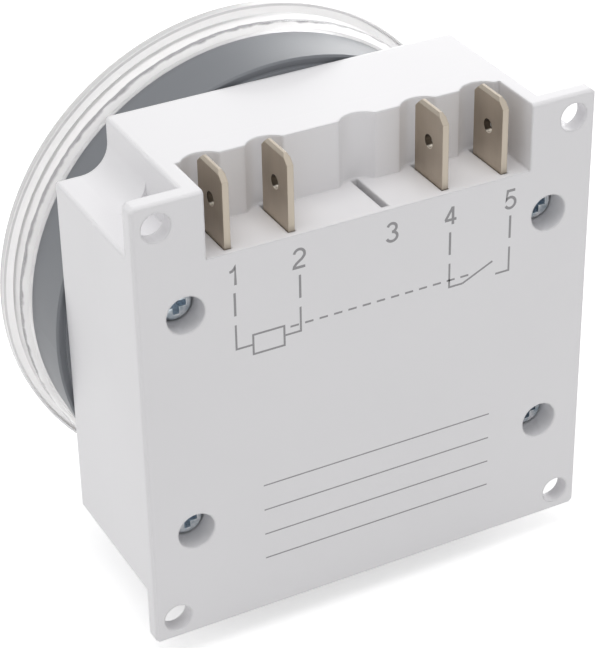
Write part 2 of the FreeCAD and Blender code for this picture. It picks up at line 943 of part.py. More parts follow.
def make_power_board():
    half = body_half - case_wall - board_edge_gap
    inner_fillet = notch_fillet + case_wall + board_edge_gap
    board = slab(cross_outline(half, corner_notch, 0, inner_fillet), power_rear, power_front)
    tools = screw_bosses(power_rear - overrun, power_front + overrun, case_boss_radius + board_edge_gap)
    tools += terminal_pin_holes()
    tools += pin_holes(link_pin_places(), link_pin_width, power_rear, power_front)
    tools += pin_holes(component_lead_places(), lead_width, power_rear, power_front)
    tools += pin_holes(relay_pin_places(), relay_pin_width, power_rear, power_front)
    tools.append(fixed_contact_slot(power_rear - overrun, power_front + overrun))
    return without(board, tools)


def make_film_capacitor():
    face = rectangle(film_capacitor_x, film_capacitor_z, film_capacitor_width, film_capacitor_height, 0)
    return slab(face, plate_thickness + film_capacitor_headroom, power_rear)


def make_can(x, radius, headroom):
    return rod(x, component_top_z - radius, radius, plate_thickness + headroom, power_rear)


def make_varistor():
    middle = power_rear - varistor_lead_length - varistor_radius
    start = V(varistor_x - varistor_thickness / 2, -middle, 0)
    body = Part.makeCylinder(varistor_radius, varistor_thickness, start, V(1, 0, 0))
    leads = [bar(x, z, lead_width, middle, power_front + solder_tail) for x, z in varistor_leads()]
    return joined([body] + leads)


def make_diode(x):
    body = slab(rectangle(x, diode_z, diode_length, diode_width, 0), power_rear - diode_height, power_rear)
    spread = diode_length + 2 * diode_tab_reach
    tabs = rectangle(x, diode_z, spread, diode_tab_width, 0)
    return joined([body, slab(tabs, power_rear - diode_tab_thickness, power_rear)])


def make_resistor(x):
    centre = power_rear - resistor_radius - resistor_lift
    start = V(x - resistor_length / 2, -centre, resistor_z)
    body = Part.makeCylinder(resistor_radius, resistor_length, start, V(1, 0, 0))
    half = lead_width / 2
    reach = resistor_length / 2 + lead_overhang + half
    wire = block(x - reach, x + reach, centre - half, centre + half, resistor_z - half, resistor_z + half)
    legs = [bar(lead_x, z, lead_width, centre, power_front + solder_tail) for lead_x, z in resistor_leads(x)]
    return joined([body, wire] + legs)


# Relay: base, cover, magnet system and contacts, set on the power board
relay_rear = plate_thickness + relay_headroom
relay_base_rear = power_rear - relay_base_thickness
armature_closed = relay_rear + relay_cover_wall + armature_head_room + armature_thickness
pole_depth = armature_closed + armature_air_gap
yoke_floor_rear = relay_base_rear - yoke_thickness
yoke_outer_x = relay_width / 2 - relay_cover_wall - yoke_end_gap
arm_front = armature_closed - armature_thickness
contact_end_x = -relay_width / 2 + relay_cover_wall + contact_strip_inset
fixed_contact_depth = arm_front + contact_height + contact_gap_closed
strip_depth = fixed_contact_depth + contact_height


def relay_pin_places():
    across = yoke_width / 2 - relay_pin_width
    end_x = yoke_outer_x - relay_pin_inset
    return [(end_x, relay_z - across), (end_x, relay_z + across), (contact_pin_x, relay_z)]


def fixed_contact_slot(rear, front):
    low = contact_end_x - pin_hole_clearance
    high = contact_end_x + contact_strip_thickness + pin_hole_clearance
    half = contact_strip_width / 2 + pin_hole_clearance
    return block(low, high, rear, front, relay_z - half, relay_z + half)


def relay_face(inset, cut):
    return rectangle(0, relay_z, relay_width - 2 * inset, relay_height - 2 * inset, cut)


def make_relay_base():
    base = slab(relay_face(relay_cover_wall + relay_base_clearance, 0), relay_base_rear, power_rear)
    tools = pin_holes(relay_pin_places(), relay_pin_width, relay_base_rear, power_rear)
    tools.append(fixed_contact_slot(relay_base_rear - overrun, power_rear + overrun))
    return without(base, tools)


def make_relay_cover():
    outside = slab(relay_face(0, -relay_cover_wall), relay_rear, power_rear - relay_cover_lift)
    inside = slab(relay_face(relay_cover_wall, 0), relay_rear + relay_cover_wall, power_rear + overrun)
    return without(outside, [inside])


def make_relay_pins():
    tail = power_front + solder_tail
    pins = [bar(x, z, relay_pin_width, relay_base_rear, tail) for x, z in relay_pin_places()]
    return Part.makeCompound(pins)


def make_yoke():
    low = relay_z - yoke_width / 2
    high = relay_z + yoke_width / 2
    floor_end = coil_centre_x - bobbin_flange_radius
    floor = block(floor_end, yoke_outer_x, yoke_floor_rear, relay_base_rear, low, high)
    upright = block(yoke_outer_x - yoke_thickness, yoke_outer_x, pole_depth, relay_base_rear, low, high)
    bore = core_radius + core_fit
    hole = rod(coil_centre_x, relay_z, bore, yoke_floor_rear - overrun, relay_base_rear + overrun)
    return without(joined([floor, upright]), [hole])


def make_core():
    shaft = rod(coil_centre_x, relay_z, core_radius, pole_depth, relay_base_rear)
    pole = rod(coil_centre_x, relay_z, pole_radius, pole_depth, pole_depth + pole_thickness)
    return joined([shaft, pole])


def make_bobbin():
    rear = pole_depth + pole_thickness
    front = yoke_floor_rear
    x = coil_centre_x
    barrel = rod(x, relay_z, bobbin_barrel_radius, rear, front)
    rear_flange = rod(x, relay_z, bobbin_flange_radius, rear, rear + bobbin_flange_thickness)
    front_flange = rod(x, relay_z, bobbin_flange_radius, front - bobbin_flange_thickness, front)
    bore = rod(x, relay_z, core_radius + core_fit, rear - overrun, front + overrun)
    return without(joined([barrel, rear_flange, front_flange]), [bore])


def make_winding():
    rear = pole_depth + pole_thickness + bobbin_flange_thickness + core_fit
    front = yoke_floor_rear - bobbin_flange_thickness - core_fit
    outside = rod(coil_centre_x, relay_z, winding_radius, rear, front)
    bore_radius = bobbin_barrel_radius + core_fit
    return without(outside, [rod(coil_centre_x, relay_z, bore_radius, rear - overrun, front + overrun)])


def opened(shape):
    """The armature at rest stands off the pole, turned about the yoke's outer edge."""
    shape.rotate(V(yoke_outer_x, -armature_closed, relay_z), V(0, 0, 1), -armature_angle)
    return shape


def make_armature():
    half = armature_width / 2
    low_x = yoke_outer_x - armature_reach
    plate = block(low_x, yoke_outer_x, arm_front, armature_closed, relay_z - half, relay_z + half)
    return opened(plate)


def make_contact_arm():
    half = arm_width / 2
    rear = arm_front - arm_thickness
    low_x = contact_x - contact_radius
    high_x = yoke_outer_x - armature_reach + arm_overlap
    leaf = block(low_x, high_x, rear, arm_front, relay_z - half, relay_z + half)
    button = rod(contact_x, relay_z, contact_radius, rear, arm_front + contact_height)
    return opened(joined([leaf, button]))


def make_fixed_contact():
    half = contact_strip_width / 2
    low = relay_z - half
    high = relay_z + half
    end = contact_x + contact_radius
    leg_end = contact_end_x + contact_strip_thickness
    tab_front = strip_depth + contact_strip_thickness
    tab = block(contact_end_x, end, strip_depth, tab_front, low, high)
    leg = block(contact_end_x, leg_end, strip_depth, power_front + solder_tail, low, high)
    in_tab = strip_depth + contact_strip_thickness / 2
    button = rod(contact_x, relay_z, contact_radius, fixed_contact_depth, in_tab)
    return joined([tab, leg, button])


# Every node
pieces["rear_case"] = make_rear_case()
pieces["front_case"] = make_front_case()
pieces["case_screws"] = Part.makeCompound([make_case_screw(x, z) for x, z in screw_places])
for name, x in terminal_places.items():
    pieces["terminal_" + name] = make_terminal(x)
pieces["front_housing"] = make_front_housing()
pieces["display_window"] = make_display_window()
pieces["cover_seal"] = make_cover_seal()
pieces["clear_cover"] = make_clear_cover()
for index, (x, z) in enumerate(key_places()):
    pieces["key_" + str(index + 1)] = make_key(x, z, key_width, key_height)
pieces["manual_key"] = make_key(0, lower_row_z, manual_key_width, manual_key_height)
pieces["reset_key"] = make_reset_key()
pieces["key_mat"] = make_key_mat()
pieces["status_led"] = make_status_led()
pieces["lcd_glass"] = make_lcd_glass()
pieces["lcd_holder"] = make_lcd_holder()
pieces["zebra_strips"] = make_zebra_strips()
pieces["backlight"] = make_backlight()
pieces["control_board"] = make_control_board()
pieces["board_screws"] = Part.makeCompound([make_board_screw(x, z) for x, z in board_post_places()])
pieces["link_pins"] = make_link_pins()
pieces["link_body"] = make_link_body()
pieces["processor_chip"] = make_processor_chip()
pieces["crystal"] = make_crystal()
pieces["cell_holder"] = make_cell_holder()
pieces["backup_cell"] = make_backup_cell()
pieces["power_board"] = make_power_board()
pieces["film_capacitor"] = make_film_capacitor()
small_can = make_can(small_can_x, small_can_radius, small_can_headroom)
large_can = make_can(large_can_x, large_can_radius, large_can_headroom)
pieces["smoothing_capacitors"] = Part.makeCompound([small_can, large_can])
pieces["varistor"] = make_varistor()
diodes = [make_diode(x) for x in row_places(0, diode_count, diode_pitch)]
pieces["rectifier_diodes"] = Part.makeCompound(diodes)
resistors = [make_resistor(x) for x in row_places(resistor_x, resistor_count, resistor_pitch)]
pieces["resistors"] = Part.makeCompound(resistors)
pieces["relay_base"] = make_relay_base()
pieces["relay_cover"] = make_relay_cover()
pieces["relay_pins"] = make_relay_pins()
pieces["relay_yoke"] = make_yoke()
pieces["relay_core"] = make_core()
pieces["coil_bobbin"] = make_bobbin()
pieces["coil_winding"] = make_winding()
pieces["relay_armature"] = make_armature()
pieces["contact_arm"] = make_contact_arm()
pieces["fixed_contact"] = make_fixed_contact()

os.makedirs("parts", exist_ok=True)
for name, shape in pieces.items():
    shape.exportStep("parts/" + name + ".step")
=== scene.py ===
import math

import bmesh
import bpy
from mathutils import Euler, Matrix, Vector


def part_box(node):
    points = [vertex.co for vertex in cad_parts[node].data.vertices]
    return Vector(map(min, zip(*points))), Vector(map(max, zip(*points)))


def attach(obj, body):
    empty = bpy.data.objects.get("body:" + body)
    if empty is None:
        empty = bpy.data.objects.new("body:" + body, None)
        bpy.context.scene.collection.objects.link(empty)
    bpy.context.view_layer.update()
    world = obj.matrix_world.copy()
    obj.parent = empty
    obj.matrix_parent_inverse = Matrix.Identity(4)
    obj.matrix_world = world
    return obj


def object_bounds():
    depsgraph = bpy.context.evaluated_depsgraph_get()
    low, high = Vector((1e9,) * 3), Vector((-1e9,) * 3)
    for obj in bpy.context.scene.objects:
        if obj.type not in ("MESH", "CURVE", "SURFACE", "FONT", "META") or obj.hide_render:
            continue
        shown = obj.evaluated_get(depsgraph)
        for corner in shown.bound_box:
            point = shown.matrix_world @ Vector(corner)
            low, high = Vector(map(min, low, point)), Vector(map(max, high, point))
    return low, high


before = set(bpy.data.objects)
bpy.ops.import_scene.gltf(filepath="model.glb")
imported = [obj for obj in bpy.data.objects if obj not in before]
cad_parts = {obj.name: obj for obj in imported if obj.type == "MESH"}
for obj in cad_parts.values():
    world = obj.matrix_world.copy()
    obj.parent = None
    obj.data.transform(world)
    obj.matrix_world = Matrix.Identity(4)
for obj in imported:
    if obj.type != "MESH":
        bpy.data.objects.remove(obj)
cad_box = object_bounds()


# Relay. A small sealed switching relay: a coil on an iron core pulls an armature, which pushes a
# bronze contact arm on to a fixed contact. The base and cover are black glass-filled polyester,
# snapped together over the works.

def linear(swatch):
    """The linear numbers of an sRGB hex colour."""
    channels = [int(swatch[i:i + 2], 16) / 255 for i in (1, 3, 5)]
    return [c / 12.92 if c <= 0.04045 else ((c + 0.055) / 1.055) ** 2.4 for c in channels] + [1.0]


def add_node(tree, kind, settings=None, links=None):
    """Adds a node, gives it its values and feeds its inputs from the outputs of others. Sockets
    that share a name go by their number."""
    node = tree.nodes.new(kind)
    for name, value in (settings or {}).items():
        if isinstance(name, int) or name in node.inputs:
            node.inputs[name].default_value = value
        else:
            setattr(node, name, value)
    for name, (source, output) in (links or {}).items():
        tree.links.new(source.outputs[output], node.inputs[name])
    return node


# The numbers of a mix node's two colours and of the colour that it gives.
one, other, mixed = 6, 7, 2


def new_finish(name):
    """An empty finish and the tree that its nodes go into."""
    finish = bpy.data.materials.new(name)
    finish.use_nodes = True
    finish.node_tree.nodes.clear()
    return finish, finish.node_tree


def dress(finish, *pieces):
    """Gives pieces of the frame their finish."""
    for piece in pieces:
        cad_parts[piece].material_slots[0].material = finish


def per_mm(size):
    """The scale of a pattern whose spots are this many millimetres across."""
    return 1000 / size


def bands(pitch):
    """The scale of a wave pattern whose bands repeat every so many millimetres. At a scale of 1
    the wave turns through 20 radians in a metre."""
    return 2 * math.pi * 1000 / (20 * pitch)


def distance_from(tree, level, source, output):
    """How far a node's output is from a level, both in metres."""
    past = add_node(tree, "ShaderNodeMath", {"operation": "SUBTRACT", 1: level}, {0: (source, output)})
    return add_node(tree, "ShaderNodeMath", {"operation": "ABSOLUTE"}, {0: (past, "Value")})


def moulded(name, colour, roughness, ior, grain, depth, edge, drift=0.03, seam=None):
    """A plastic from a steel mould. The eye gets an even colour with a very slow drift where the
    melt flowed, the fine spark texture of the mould, and soft edges that the tool leaves, with a
    painted highlight: the colour is painted paler where the softened edge bends. Grain, depth and
    edge are in millimetres. At the depth of a seam between two mouldings the edges are crisp, so
    that the seam is a hairline."""
    flow, colour_drift, crisp_edge = 18.0, 3 * drift, 0.03
    bend_start, bend_full, edge_highlight_lift = 0.97, 0.78, 1.2
    even_colour = linear(colour)
    flowed_colour = [c * (1 - colour_drift) for c in even_colour[:3]] + [1.0]
    painted_edge_highlight = [min(1.0, c * edge_highlight_lift) for c in even_colour[:3]] + [1.0]
    finish, tree = new_finish(name)
    place = add_node(tree, "ShaderNodeTexCoord")
    melt = add_node(tree, "ShaderNodeTexNoise", {"Scale": per_mm(flow), "Detail": 2.0},
                    {"Vector": (place, "Object")})
    spark = add_node(tree, "ShaderNodeTexNoise", {"Scale": per_mm(grain), "Detail": 3.0},
                     {"Vector": (place, "Object")})
    tone = add_node(tree, "ShaderNodeMix",
                    {"data_type": "RGBA", one: even_colour, other: flowed_colour},
                    {0: (melt, "Fac")})
    sheen = add_node(tree, "ShaderNodeMapRange",
                     {"From Min": 0.3, "From Max": 0.7,
                      "To Min": roughness - drift, "To Max": roughness + drift},
                     {"Value": (melt, "Fac")})
    soft_edge = add_node(tree, "ShaderNodeBevel", {"samples": 4, "Radius": edge / 1000})
    if seam is not None:
        parts = add_node(tree, "ShaderNodeSeparateXYZ", links={"Vector": (place, "Object")})
        off_seam = distance_from(tree, -seam / 1000, parts, "Y")
        fade = add_node(tree, "ShaderNodeMapRange",
                        {"From Min": edge / 1000, "From Max": 2 * edge / 1000,
                         "To Min": crisp_edge / 1000, "To Max": edge / 1000},
                        {"Value": (off_seam, "Value")})
        tree.links.new(fade.outputs["Result"], soft_edge.inputs["Radius"])
    # Painted highlight: where the bevel bends the normal away from the face, the colour is painted paler.
    surface = add_node(tree, "ShaderNodeNewGeometry")
    bend = add_node(tree, "ShaderNodeVectorMath", {"operation": "DOT_PRODUCT"},
                    {0: (soft_edge, "Normal"), 1: (surface, "True Normal")})
    edge_highlight_mask = add_node(tree, "ShaderNodeMapRange", {"From Min": bend_start, "From Max": bend_full},
                       {"Value": (bend, "Value")})
    edge_highlighted = add_node(tree, "ShaderNodeMix", {"data_type": "RGBA", other: painted_edge_highlight},
                     {0: (edge_highlight_mask, "Result"), one: (tone, mixed)})
    relief = add_node(tree, "ShaderNodeBump", {"Strength": 0.6, "Distance": depth / 1000},
                      {"Height": (spark, "Fac"), "Normal": (soft_edge, "Normal")})
    shader = add_node(tree, "ShaderNodeBsdfPrincipled", {"IOR": ior},
                      {"Base Color": (edge_highlighted, mixed), "Roughness": (sheen, "Result"),
                       "Normal": (relief, "Normal")})
    add_node(tree, "ShaderNodeOutputMaterial", links={"Surface": (shader, "BSDF")})
    return finish


def rolled_metal(name, colour, dull_colour, roughness, line, run, edge, along,
                 below=None, recess_shade_colour=None):
    """Strip, sheet or wire from a rolling mill. The eye gets fine lines along the run of the strip,
    a sheen that follows them, and a slow change towards the duller colour of old plating. Line,
    run and edge are in millimetres: a line's width, a stain's size and an edge's radius. Below a
    level along Y, in metres, a darker colour is painted as shade in a recess."""
    drawn_out, line_relief, sheen_swing = 0.04, 0.004, 0.3
    finish, tree = new_finish(name)
    place = add_node(tree, "ShaderNodeTexCoord")
    strip = add_node(tree, "ShaderNodeMapping",
                     {"Scale": [drawn_out if axis == along else 1.0 for axis in "XYZ"]},
                     {"Vector": (place, "Object")})
    lines = add_node(tree, "ShaderNodeTexNoise", {"Scale": per_mm(line), "Detail": 4.0},
                     {"Vector": (strip, "Vector")})
    stain = add_node(tree, "ShaderNodeTexNoise", {"Scale": per_mm(run), "Detail": 5.0},
                     {"Vector": (place, "Object")})
    spread = add_node(tree, "ShaderNodeMapRange", {"From Min": 0.35, "From Max": 0.68},
                      {"Value": (stain, "Fac")})
    tone = add_node(tree, "ShaderNodeMix",
                    {"data_type": "RGBA", one: linear(colour), other: linear(dull_colour)},
                    {0: (spread, "Result")})
    # Painted shade: below the level the colour is painted darker, as in a recess.
    if below is not None:
        parts = add_node(tree, "ShaderNodeSeparateXYZ", links={"Vector": (place, "Object")})
        painted_recess_shade = add_node(tree, "ShaderNodeMath", {"operation": "LESS_THAN", 1: below},
                        {0: (parts, "Y")})
        tone = add_node(tree, "ShaderNodeMix", {"data_type": "RGBA", other: linear(recess_shade_colour)},
                        {0: (painted_recess_shade, "Value"), one: (tone, mixed)})
    sheen = add_node(tree, "ShaderNodeMapRange",
                     {"From Min": 0.25, "From Max": 0.75,
                      "To Min": roughness * (1 - sheen_swing), "To Max": roughness * (1 + sheen_swing)},
                     {"Value": (lines, "Fac")})
    soft_edge = add_node(tree, "ShaderNodeBevel", {"samples": 4, "Radius": edge / 1000})
    relief = add_node(tree, "ShaderNodeBump", {"Strength": 0.5, "Distance": line_relief / 1000},
                      {"Height": (lines, "Fac"), "Normal": (soft_edge, "Normal")})
    shader = add_node(tree, "ShaderNodeBsdfPrincipled", {"Metallic": 1.0},
                      {"Base Color": (tone, mixed), "Roughness": (sheen, "Result"),
                       "Normal": (relief, "Normal")})
    add_node(tree, "ShaderNodeOutputMaterial", links={"Surface": (shader, "BSDF")})
    return finish


# Glass-filled polyester, moulded against a sparked steel face: a dry black with a soft bloom.
relay_plastic = moulded("moulded_black_polyester", "#232528", 0.5, 1.58, grain=0.25, depth=0.012, edge=0.2)
dress(relay_plastic, "relay_base", "relay_cover")

# Soft iron, stamped from strip and nickel plated: grey and slightly warm, with the strip's lines.
magnet_iron = rolled_metal("plated_soft_iron", "#B4B0A8", "#8F8A80", 0.34,
                           line=0.12, run=3.0, edge=0.08, along="Y")
dress(magnet_iron, "relay_core", "relay_yoke", "relay_armature")

# Phosphor bronze strip, rolled and stamped: a brown gold with a fine line.
spring_bronze = rolled_metal("rolled_phosphor_bronze", "#C08A58", "#9A6A40", 0.3,
                             line=0.1, run=4.0, edge=0.05, along="X")
dress(spring_bronze, "contact_arm", "fixed_contact")

# Steel wire and cans, hot tinned: bright, with soft pools in the tin.
tinned = rolled_metal("tinned_steel", "#C6C8C8", "#A7A9A8", 0.3, line=0.3, run=1.5, edge=0.08, along="Y")
dress(tinned, "relay_pins")

# Nylon, moulded without pigment: an ivory that is a little oily.
ivory_nylon = moulded("moulded_ivory_nylon", "#DDD6C3", 0.42, 1.53, grain=0.3, depth=0.008, edge=0.15)
dress(ivory_nylon, "coil_bobbin")

# Enamelled copper wire, layer wound. The real wire is 0.06 mm and its turns are too fine to show,
# so they are drawn 0.3 mm apart: an orange brown that glints in rows.
turn_pitch, turn_relief = 0.3, 0.075
copper_dark, copper_bright = "#6E3417", "#B5622E"
copper, tree = new_finish("enamelled_copper_winding")
place = add_node(tree, "ShaderNodeTexCoord")
turns = add_node(tree, "ShaderNodeTexWave",
                 {"bands_direction": "Y", "Scale": bands(turn_pitch), "Distortion": 0.6},
                 {"Vector": (place, "Object")})
wire_tone = add_node(tree, "ShaderNodeMix",
                     {"data_type": "RGBA", one: linear(copper_dark), other: linear(copper_bright)},
                     {0: (turns, "Fac")})
wire_relief = add_node(tree, "ShaderNodeBump", {"Strength": 0.8, "Distance": turn_relief / 1000},
                       {"Height": (turns, "Fac")})
wire = add_node(tree, "ShaderNodeBsdfPrincipled",
                {"Metallic": 1.0, "Roughness": 0.32, "Coat Weight": 0.6, "Coat Roughness": 0.12},
                {"Base Color": (wire_tone, mixed), "Normal": (wire_relief, "Normal")})
add_node(tree, "ShaderNodeOutputMaterial", links={"Surface": (wire, "BSDF")})
dress(copper, "coil_winding")


# Power board. A square of glass laminate with the parts that take the mains down to a few volts.
# The parts stand on it towards the back, soldered on its front side.

# Woven glass in epoxy under a green solder mask: a deep gloss green with copper tracks that show
# as paler lines through the mask, and a faint weave. The cloth's real thread is 0.4 mm. The tracks
# are the joints of a brick pattern whose unit is a millimetre.
thread_pitch = 0.4
track_pitch, track_length, track_gap, track_relief = 3.2, 28.8, 0.22, 0.03
mask_track, mask_ground, cloth_shade = "#2E7A4E", "#175033", "#DCE6DC"
laminate, tree = new_finish("green_glass_laminate")
place = add_node(tree, "ShaderNodeTexCoord")
flat = add_node(tree, "ShaderNodeSeparateXYZ", links={"Vector": (place, "Object")})
board_plane = add_node(tree, "ShaderNodeCombineXYZ", links={"X": (flat, "X"), "Y": (flat, "Z")})
tracks = add_node(tree, "ShaderNodeTexBrick",
                  {"Color1": (1, 1, 1, 1), "Color2": (1, 1, 1, 1), "Mortar": (0, 0, 0, 1),
                   "Scale": per_mm(1), "Mortar Size": track_gap, "Mortar Smooth": 0.1,
                   "Brick Width": track_length, "Row Height": track_pitch, "offset": 0.37},
                  {"Vector": (board_plane, "Vector")})
warp = add_node(tree, "ShaderNodeTexWave", {"bands_direction": "X", "Scale": bands(thread_pitch)},
                {"Vector": (place, "Object")})
weft = add_node(tree, "ShaderNodeTexWave", {"bands_direction": "Z", "Scale": bands(thread_pitch)},
                {"Vector": (place, "Object")})
cloth = add_node(tree, "ShaderNodeMath", {"operation": "MULTIPLY"}, {0: (warp, "Fac"), 1: (weft, "Fac")})
mask_tone = add_node(tree, "ShaderNodeMix",
                     {"data_type": "RGBA", one: linear(mask_track), other: linear(mask_ground)},
                     {0: (tracks, "Color")})
weave_tone = add_node(tree, "ShaderNodeMix",
                      {"data_type": "RGBA", "blend_type": "MULTIPLY", other: linear(cloth_shade)},
                      {0: (cloth, "Value"), one: (mask_tone, mixed)})
board_relief = add_node(tree, "ShaderNodeBump",
                        {"Strength": 0.5, "Distance": track_relief / 1000, "invert": True},
                        {"Height": (tracks, "Color")})
board = add_node(tree, "ShaderNodeBsdfPrincipled", {"Roughness": 0.28, "IOR": 1.55},
                 {"Base Color": (weave_tone, mixed), "Normal": (board_relief, "Normal")})
add_node(tree, "ShaderNodeOutputMaterial", links={"Surface": (board, "BSDF")})
dress(laminate, "power_board", "control_board")

# Polypropylene film in a moulded box: a warm yellow, smooth and slightly glossy.
film_box = moulded("moulded_yellow_box", "#D3AE3E", 0.35, 1.5, grain=0.3, depth=0.006, edge=0.3)
dress(film_box, "film_capacitor")

# Diodes are moulded in black epoxy: dull, with a fine grain from the filler.
black_epoxy = moulded("moulded_black_epoxy", "#1E1F21", 0.55, 1.55, grain=0.15, depth=0.01, edge=0.12)
dress(black_epoxy, "rectifier_diodes")

# A varistor's disc is dipped in epoxy: a rounded, wet looking blue skin.
dipped_blue = moulded("dipped_blue_epoxy", "#2F63A6", 0.22, 1.55, grain=1.4, depth=0.05, edge=0.8)
dress(dipped_blue, "varistor")

# Aluminium cans in a shrunk vinyl sleeve: black and waxy, with the pale stripe of the minus lead
# and small creases.
stripe_half, crease_size, crease_relief = 0.9, 1.2, 0.03
sleeve_colour, stripe_colour = "#20242A", "#B9BEC4"
can_low, can_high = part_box("smoothing_capacitors")
sleeve, tree = new_finish("shrunk_vinyl_sleeve")
place = add_node(tree, "ShaderNodeTexCoord")
parts = add_node(tree, "ShaderNodeSeparateXYZ", links={"Vector": (place, "Object")})
beside = distance_from(tree, (can_low.z + can_high.z) / 2, parts, "Z")
stripe = add_node(tree, "ShaderNodeMath", {"operation": "LESS_THAN", 1: stripe_half / 1000},
                  {0: (beside, "Value")})
sleeve_tone = add_node(tree, "ShaderNodeMix",
                       {"data_type": "RGBA", one: linear(sleeve_colour), other: linear(stripe_colour)},
                       {0: (stripe, "Value")})
creases = add_node(tree, "ShaderNodeTexNoise", {"Scale": per_mm(crease_size), "Detail": 3.0},
                   {"Vector": (place, "Object")})
sleeve_relief = add_node(tree, "ShaderNodeBump", {"Strength": 0.4, "Distance": crease_relief / 1000},
                         {"Height": (creases, "Fac")})
vinyl = add_node(tree, "ShaderNodeBsdfPrincipled", {"Roughness": 0.3, "IOR": 1.53},
                 {"Base Color": (sleeve_tone, mixed), "Normal": (sleeve_relief, "Normal")})
add_node(tree, "ShaderNodeOutputMaterial", links={"Surface": (vinyl, "BSDF")})
dress(sleeve, "smoothing_capacitors")

# Resistors are dipped in pale blue lacquer and ringed with painted bands: chalky between them.
# The bands' paint changes from brown to red every few millimetres.
ring_pitch, ring_edge, paint_change = 1.3, 0.78, 2.6
lacquer_colour, ring_brown, ring_red = "#8CB2C7", "#6B3A1E", "#B8322A"
lacquer, tree = new_finish("ringed_blue_lacquer")
place = add_node(tree, "ShaderNodeTexCoord")
rings = add_node(tree, "ShaderNodeTexWave", {"bands_direction": "X", "Scale": bands(ring_pitch)},
                 {"Vector": (place, "Object")})
ringed = add_node(tree, "ShaderNodeMath", {"operation": "GREATER_THAN", 1: ring_edge}, {0: (rings, "Fac")})
ring_paint = add_node(tree, "ShaderNodeTexNoise", {"Scale": per_mm(paint_change), "Detail": 0.0},
                      {"Vector": (place, "Object")})
ring_colour = add_node(tree, "ShaderNodeMix",
                       {"data_type": "RGBA", one: linear(ring_brown), other: linear(ring_red)},
                       {0: (ring_paint, "Fac")})
lacquer_tone = add_node(tree, "ShaderNodeMix", {"data_type": "RGBA", one: linear(lacquer_colour)},
                        {0: (ringed, "Value"), other: (ring_colour, mixed)})
resistor_body = add_node(tree, "ShaderNodeBsdfPrincipled", {"Roughness": 0.45, "IOR": 1.5},
                         {"Base Color": (lacquer_tone, mixed)})
add_node(tree, "ShaderNodeOutputMaterial", links={"Surface": (resistor_body, "BSDF")})
dress(lacquer, "resistors")


# Push-on terminals. Four blades stamped from half-hard brass strip, 0.8 mm thick, with a chamfered
# tip and a punched detent, nickel plated, soldered in the power board and up through the case.

# Nickel over brass: a smooth warm grey on the rolled sides with duller stains, a paler cream on
# the edges that the punch cut, and a hole painted in shade, with a painted glint where it faces up.
blade_colour, blade_dull, blade_cut = "#C9BDAD", "#9F9385", "#AFA699"
blade_hole_painted_shade, blade_hole_painted_glint = "#463E35", "#F4ECDF"
blade_line, blade_stain, blade_edge, blade_relief = 0.25, 6.0, 0.12, 0.002
blade_drawn_out, rolled_side = 0.06, 0.9
hole_drop, hole_inset, hole_radius, burr = 4.5, 3.15, 0.8, 0.1
glint_toward, glint_start, glint_full = (0.0, 0.5, -0.87), 0.45, 0.7
blade_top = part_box("terminal_1")[1]
hole_centre = (0.0, blade_top.y - hole_inset / 1000, blade_top.z - hole_drop / 1000)
blade_nickel, tree = new_finish("nickel_plated_brass")
place = add_node(tree, "ShaderNodeTexCoord")
strip = add_node(tree, "ShaderNodeMapping", {"Scale": (1.0, 1.0, blade_drawn_out)},
                 {"Vector": (place, "Object")})
lines = add_node(tree, "ShaderNodeTexNoise", {"Scale": per_mm(blade_line), "Detail": 3.0},
                 {"Vector": (strip, "Vector")})
stain = add_node(tree, "ShaderNodeTexNoise", {"Scale": per_mm(blade_stain), "Detail": 2.0},
                 {"Vector": (place, "Object")})
side_tone = add_node(tree, "ShaderNodeMix",
                     {"data_type": "RGBA", one: linear(blade_colour), other: linear(blade_dull)},
                     {0: (stain, "Fac")})
facing = add_node(tree, "ShaderNodeNewGeometry")
facing_parts = add_node(tree, "ShaderNodeSeparateXYZ", links={"Vector": (facing, "True Normal")})
sideways = add_node(tree, "ShaderNodeMath", {"operation": "ABSOLUTE"}, {0: (facing_parts, "X")})
cut = add_node(tree, "ShaderNodeMath", {"operation": "LESS_THAN", 1: rolled_side},
               {0: (sideways, "Value")})
cut_tone = add_node(tree, "ShaderNodeMix", {"data_type": "RGBA", other: linear(blade_cut)},
                    {0: (cut, "Value"), one: (side_tone, mixed)})
# Painted shade and glint: the hole is painted dark, with a painted glint on its wall below the centre.
from_hole = add_node(tree, "ShaderNodeVectorMath", {"operation": "SUBTRACT", 1: hole_centre},
                     {0: (place, "Object")})
across_blade = add_node(tree, "ShaderNodeVectorMath", {"operation": "MULTIPLY", 1: (0.0, 1.0, 1.0)},
                        {0: (from_hole, "Vector")})
hole_distance = add_node(tree, "ShaderNodeVectorMath", {"operation": "LENGTH"},
                         {0: (across_blade, "Vector")})
in_hole = add_node(tree, "ShaderNodeMath",
                   {"operation": "LESS_THAN", 1: (hole_radius + burr) / 1000},
                   {0: (hole_distance, "Value")})
hole_foot = add_node(tree, "ShaderNodeVectorMath", {"operation": "DOT_PRODUCT", 1: glint_toward},
                     {0: (from_hole, "Vector")})
painted_glint = add_node(tree, "ShaderNodeMapRange",
                 {"From Min": glint_start * hole_radius / 1000, "From Max": glint_full * hole_radius / 1000},
                 {"Value": (hole_foot, "Value")})
hole_painted_light = add_node(tree, "ShaderNodeMix",
                     {"data_type": "RGBA", one: linear(blade_hole_painted_shade), other: linear(blade_hole_painted_glint)},
                     {0: (painted_glint, "Result")})
blade_tone = add_node(tree, "ShaderNodeMix", {"data_type": "RGBA"},
                      {0: (in_hole, "Value"), one: (cut_tone, mixed), other: (hole_painted_light, mixed)})
blade_sheen = add_node(tree, "ShaderNodeMapRange",
                       {"From Min": 0.25, "From Max": 0.75, "To Min": 0.4, "To Max": 0.5},
                       {"Value": (lines, "Fac")})
soft_edge = add_node(tree, "ShaderNodeBevel", {"samples": 4, "Radius": blade_edge / 1000})
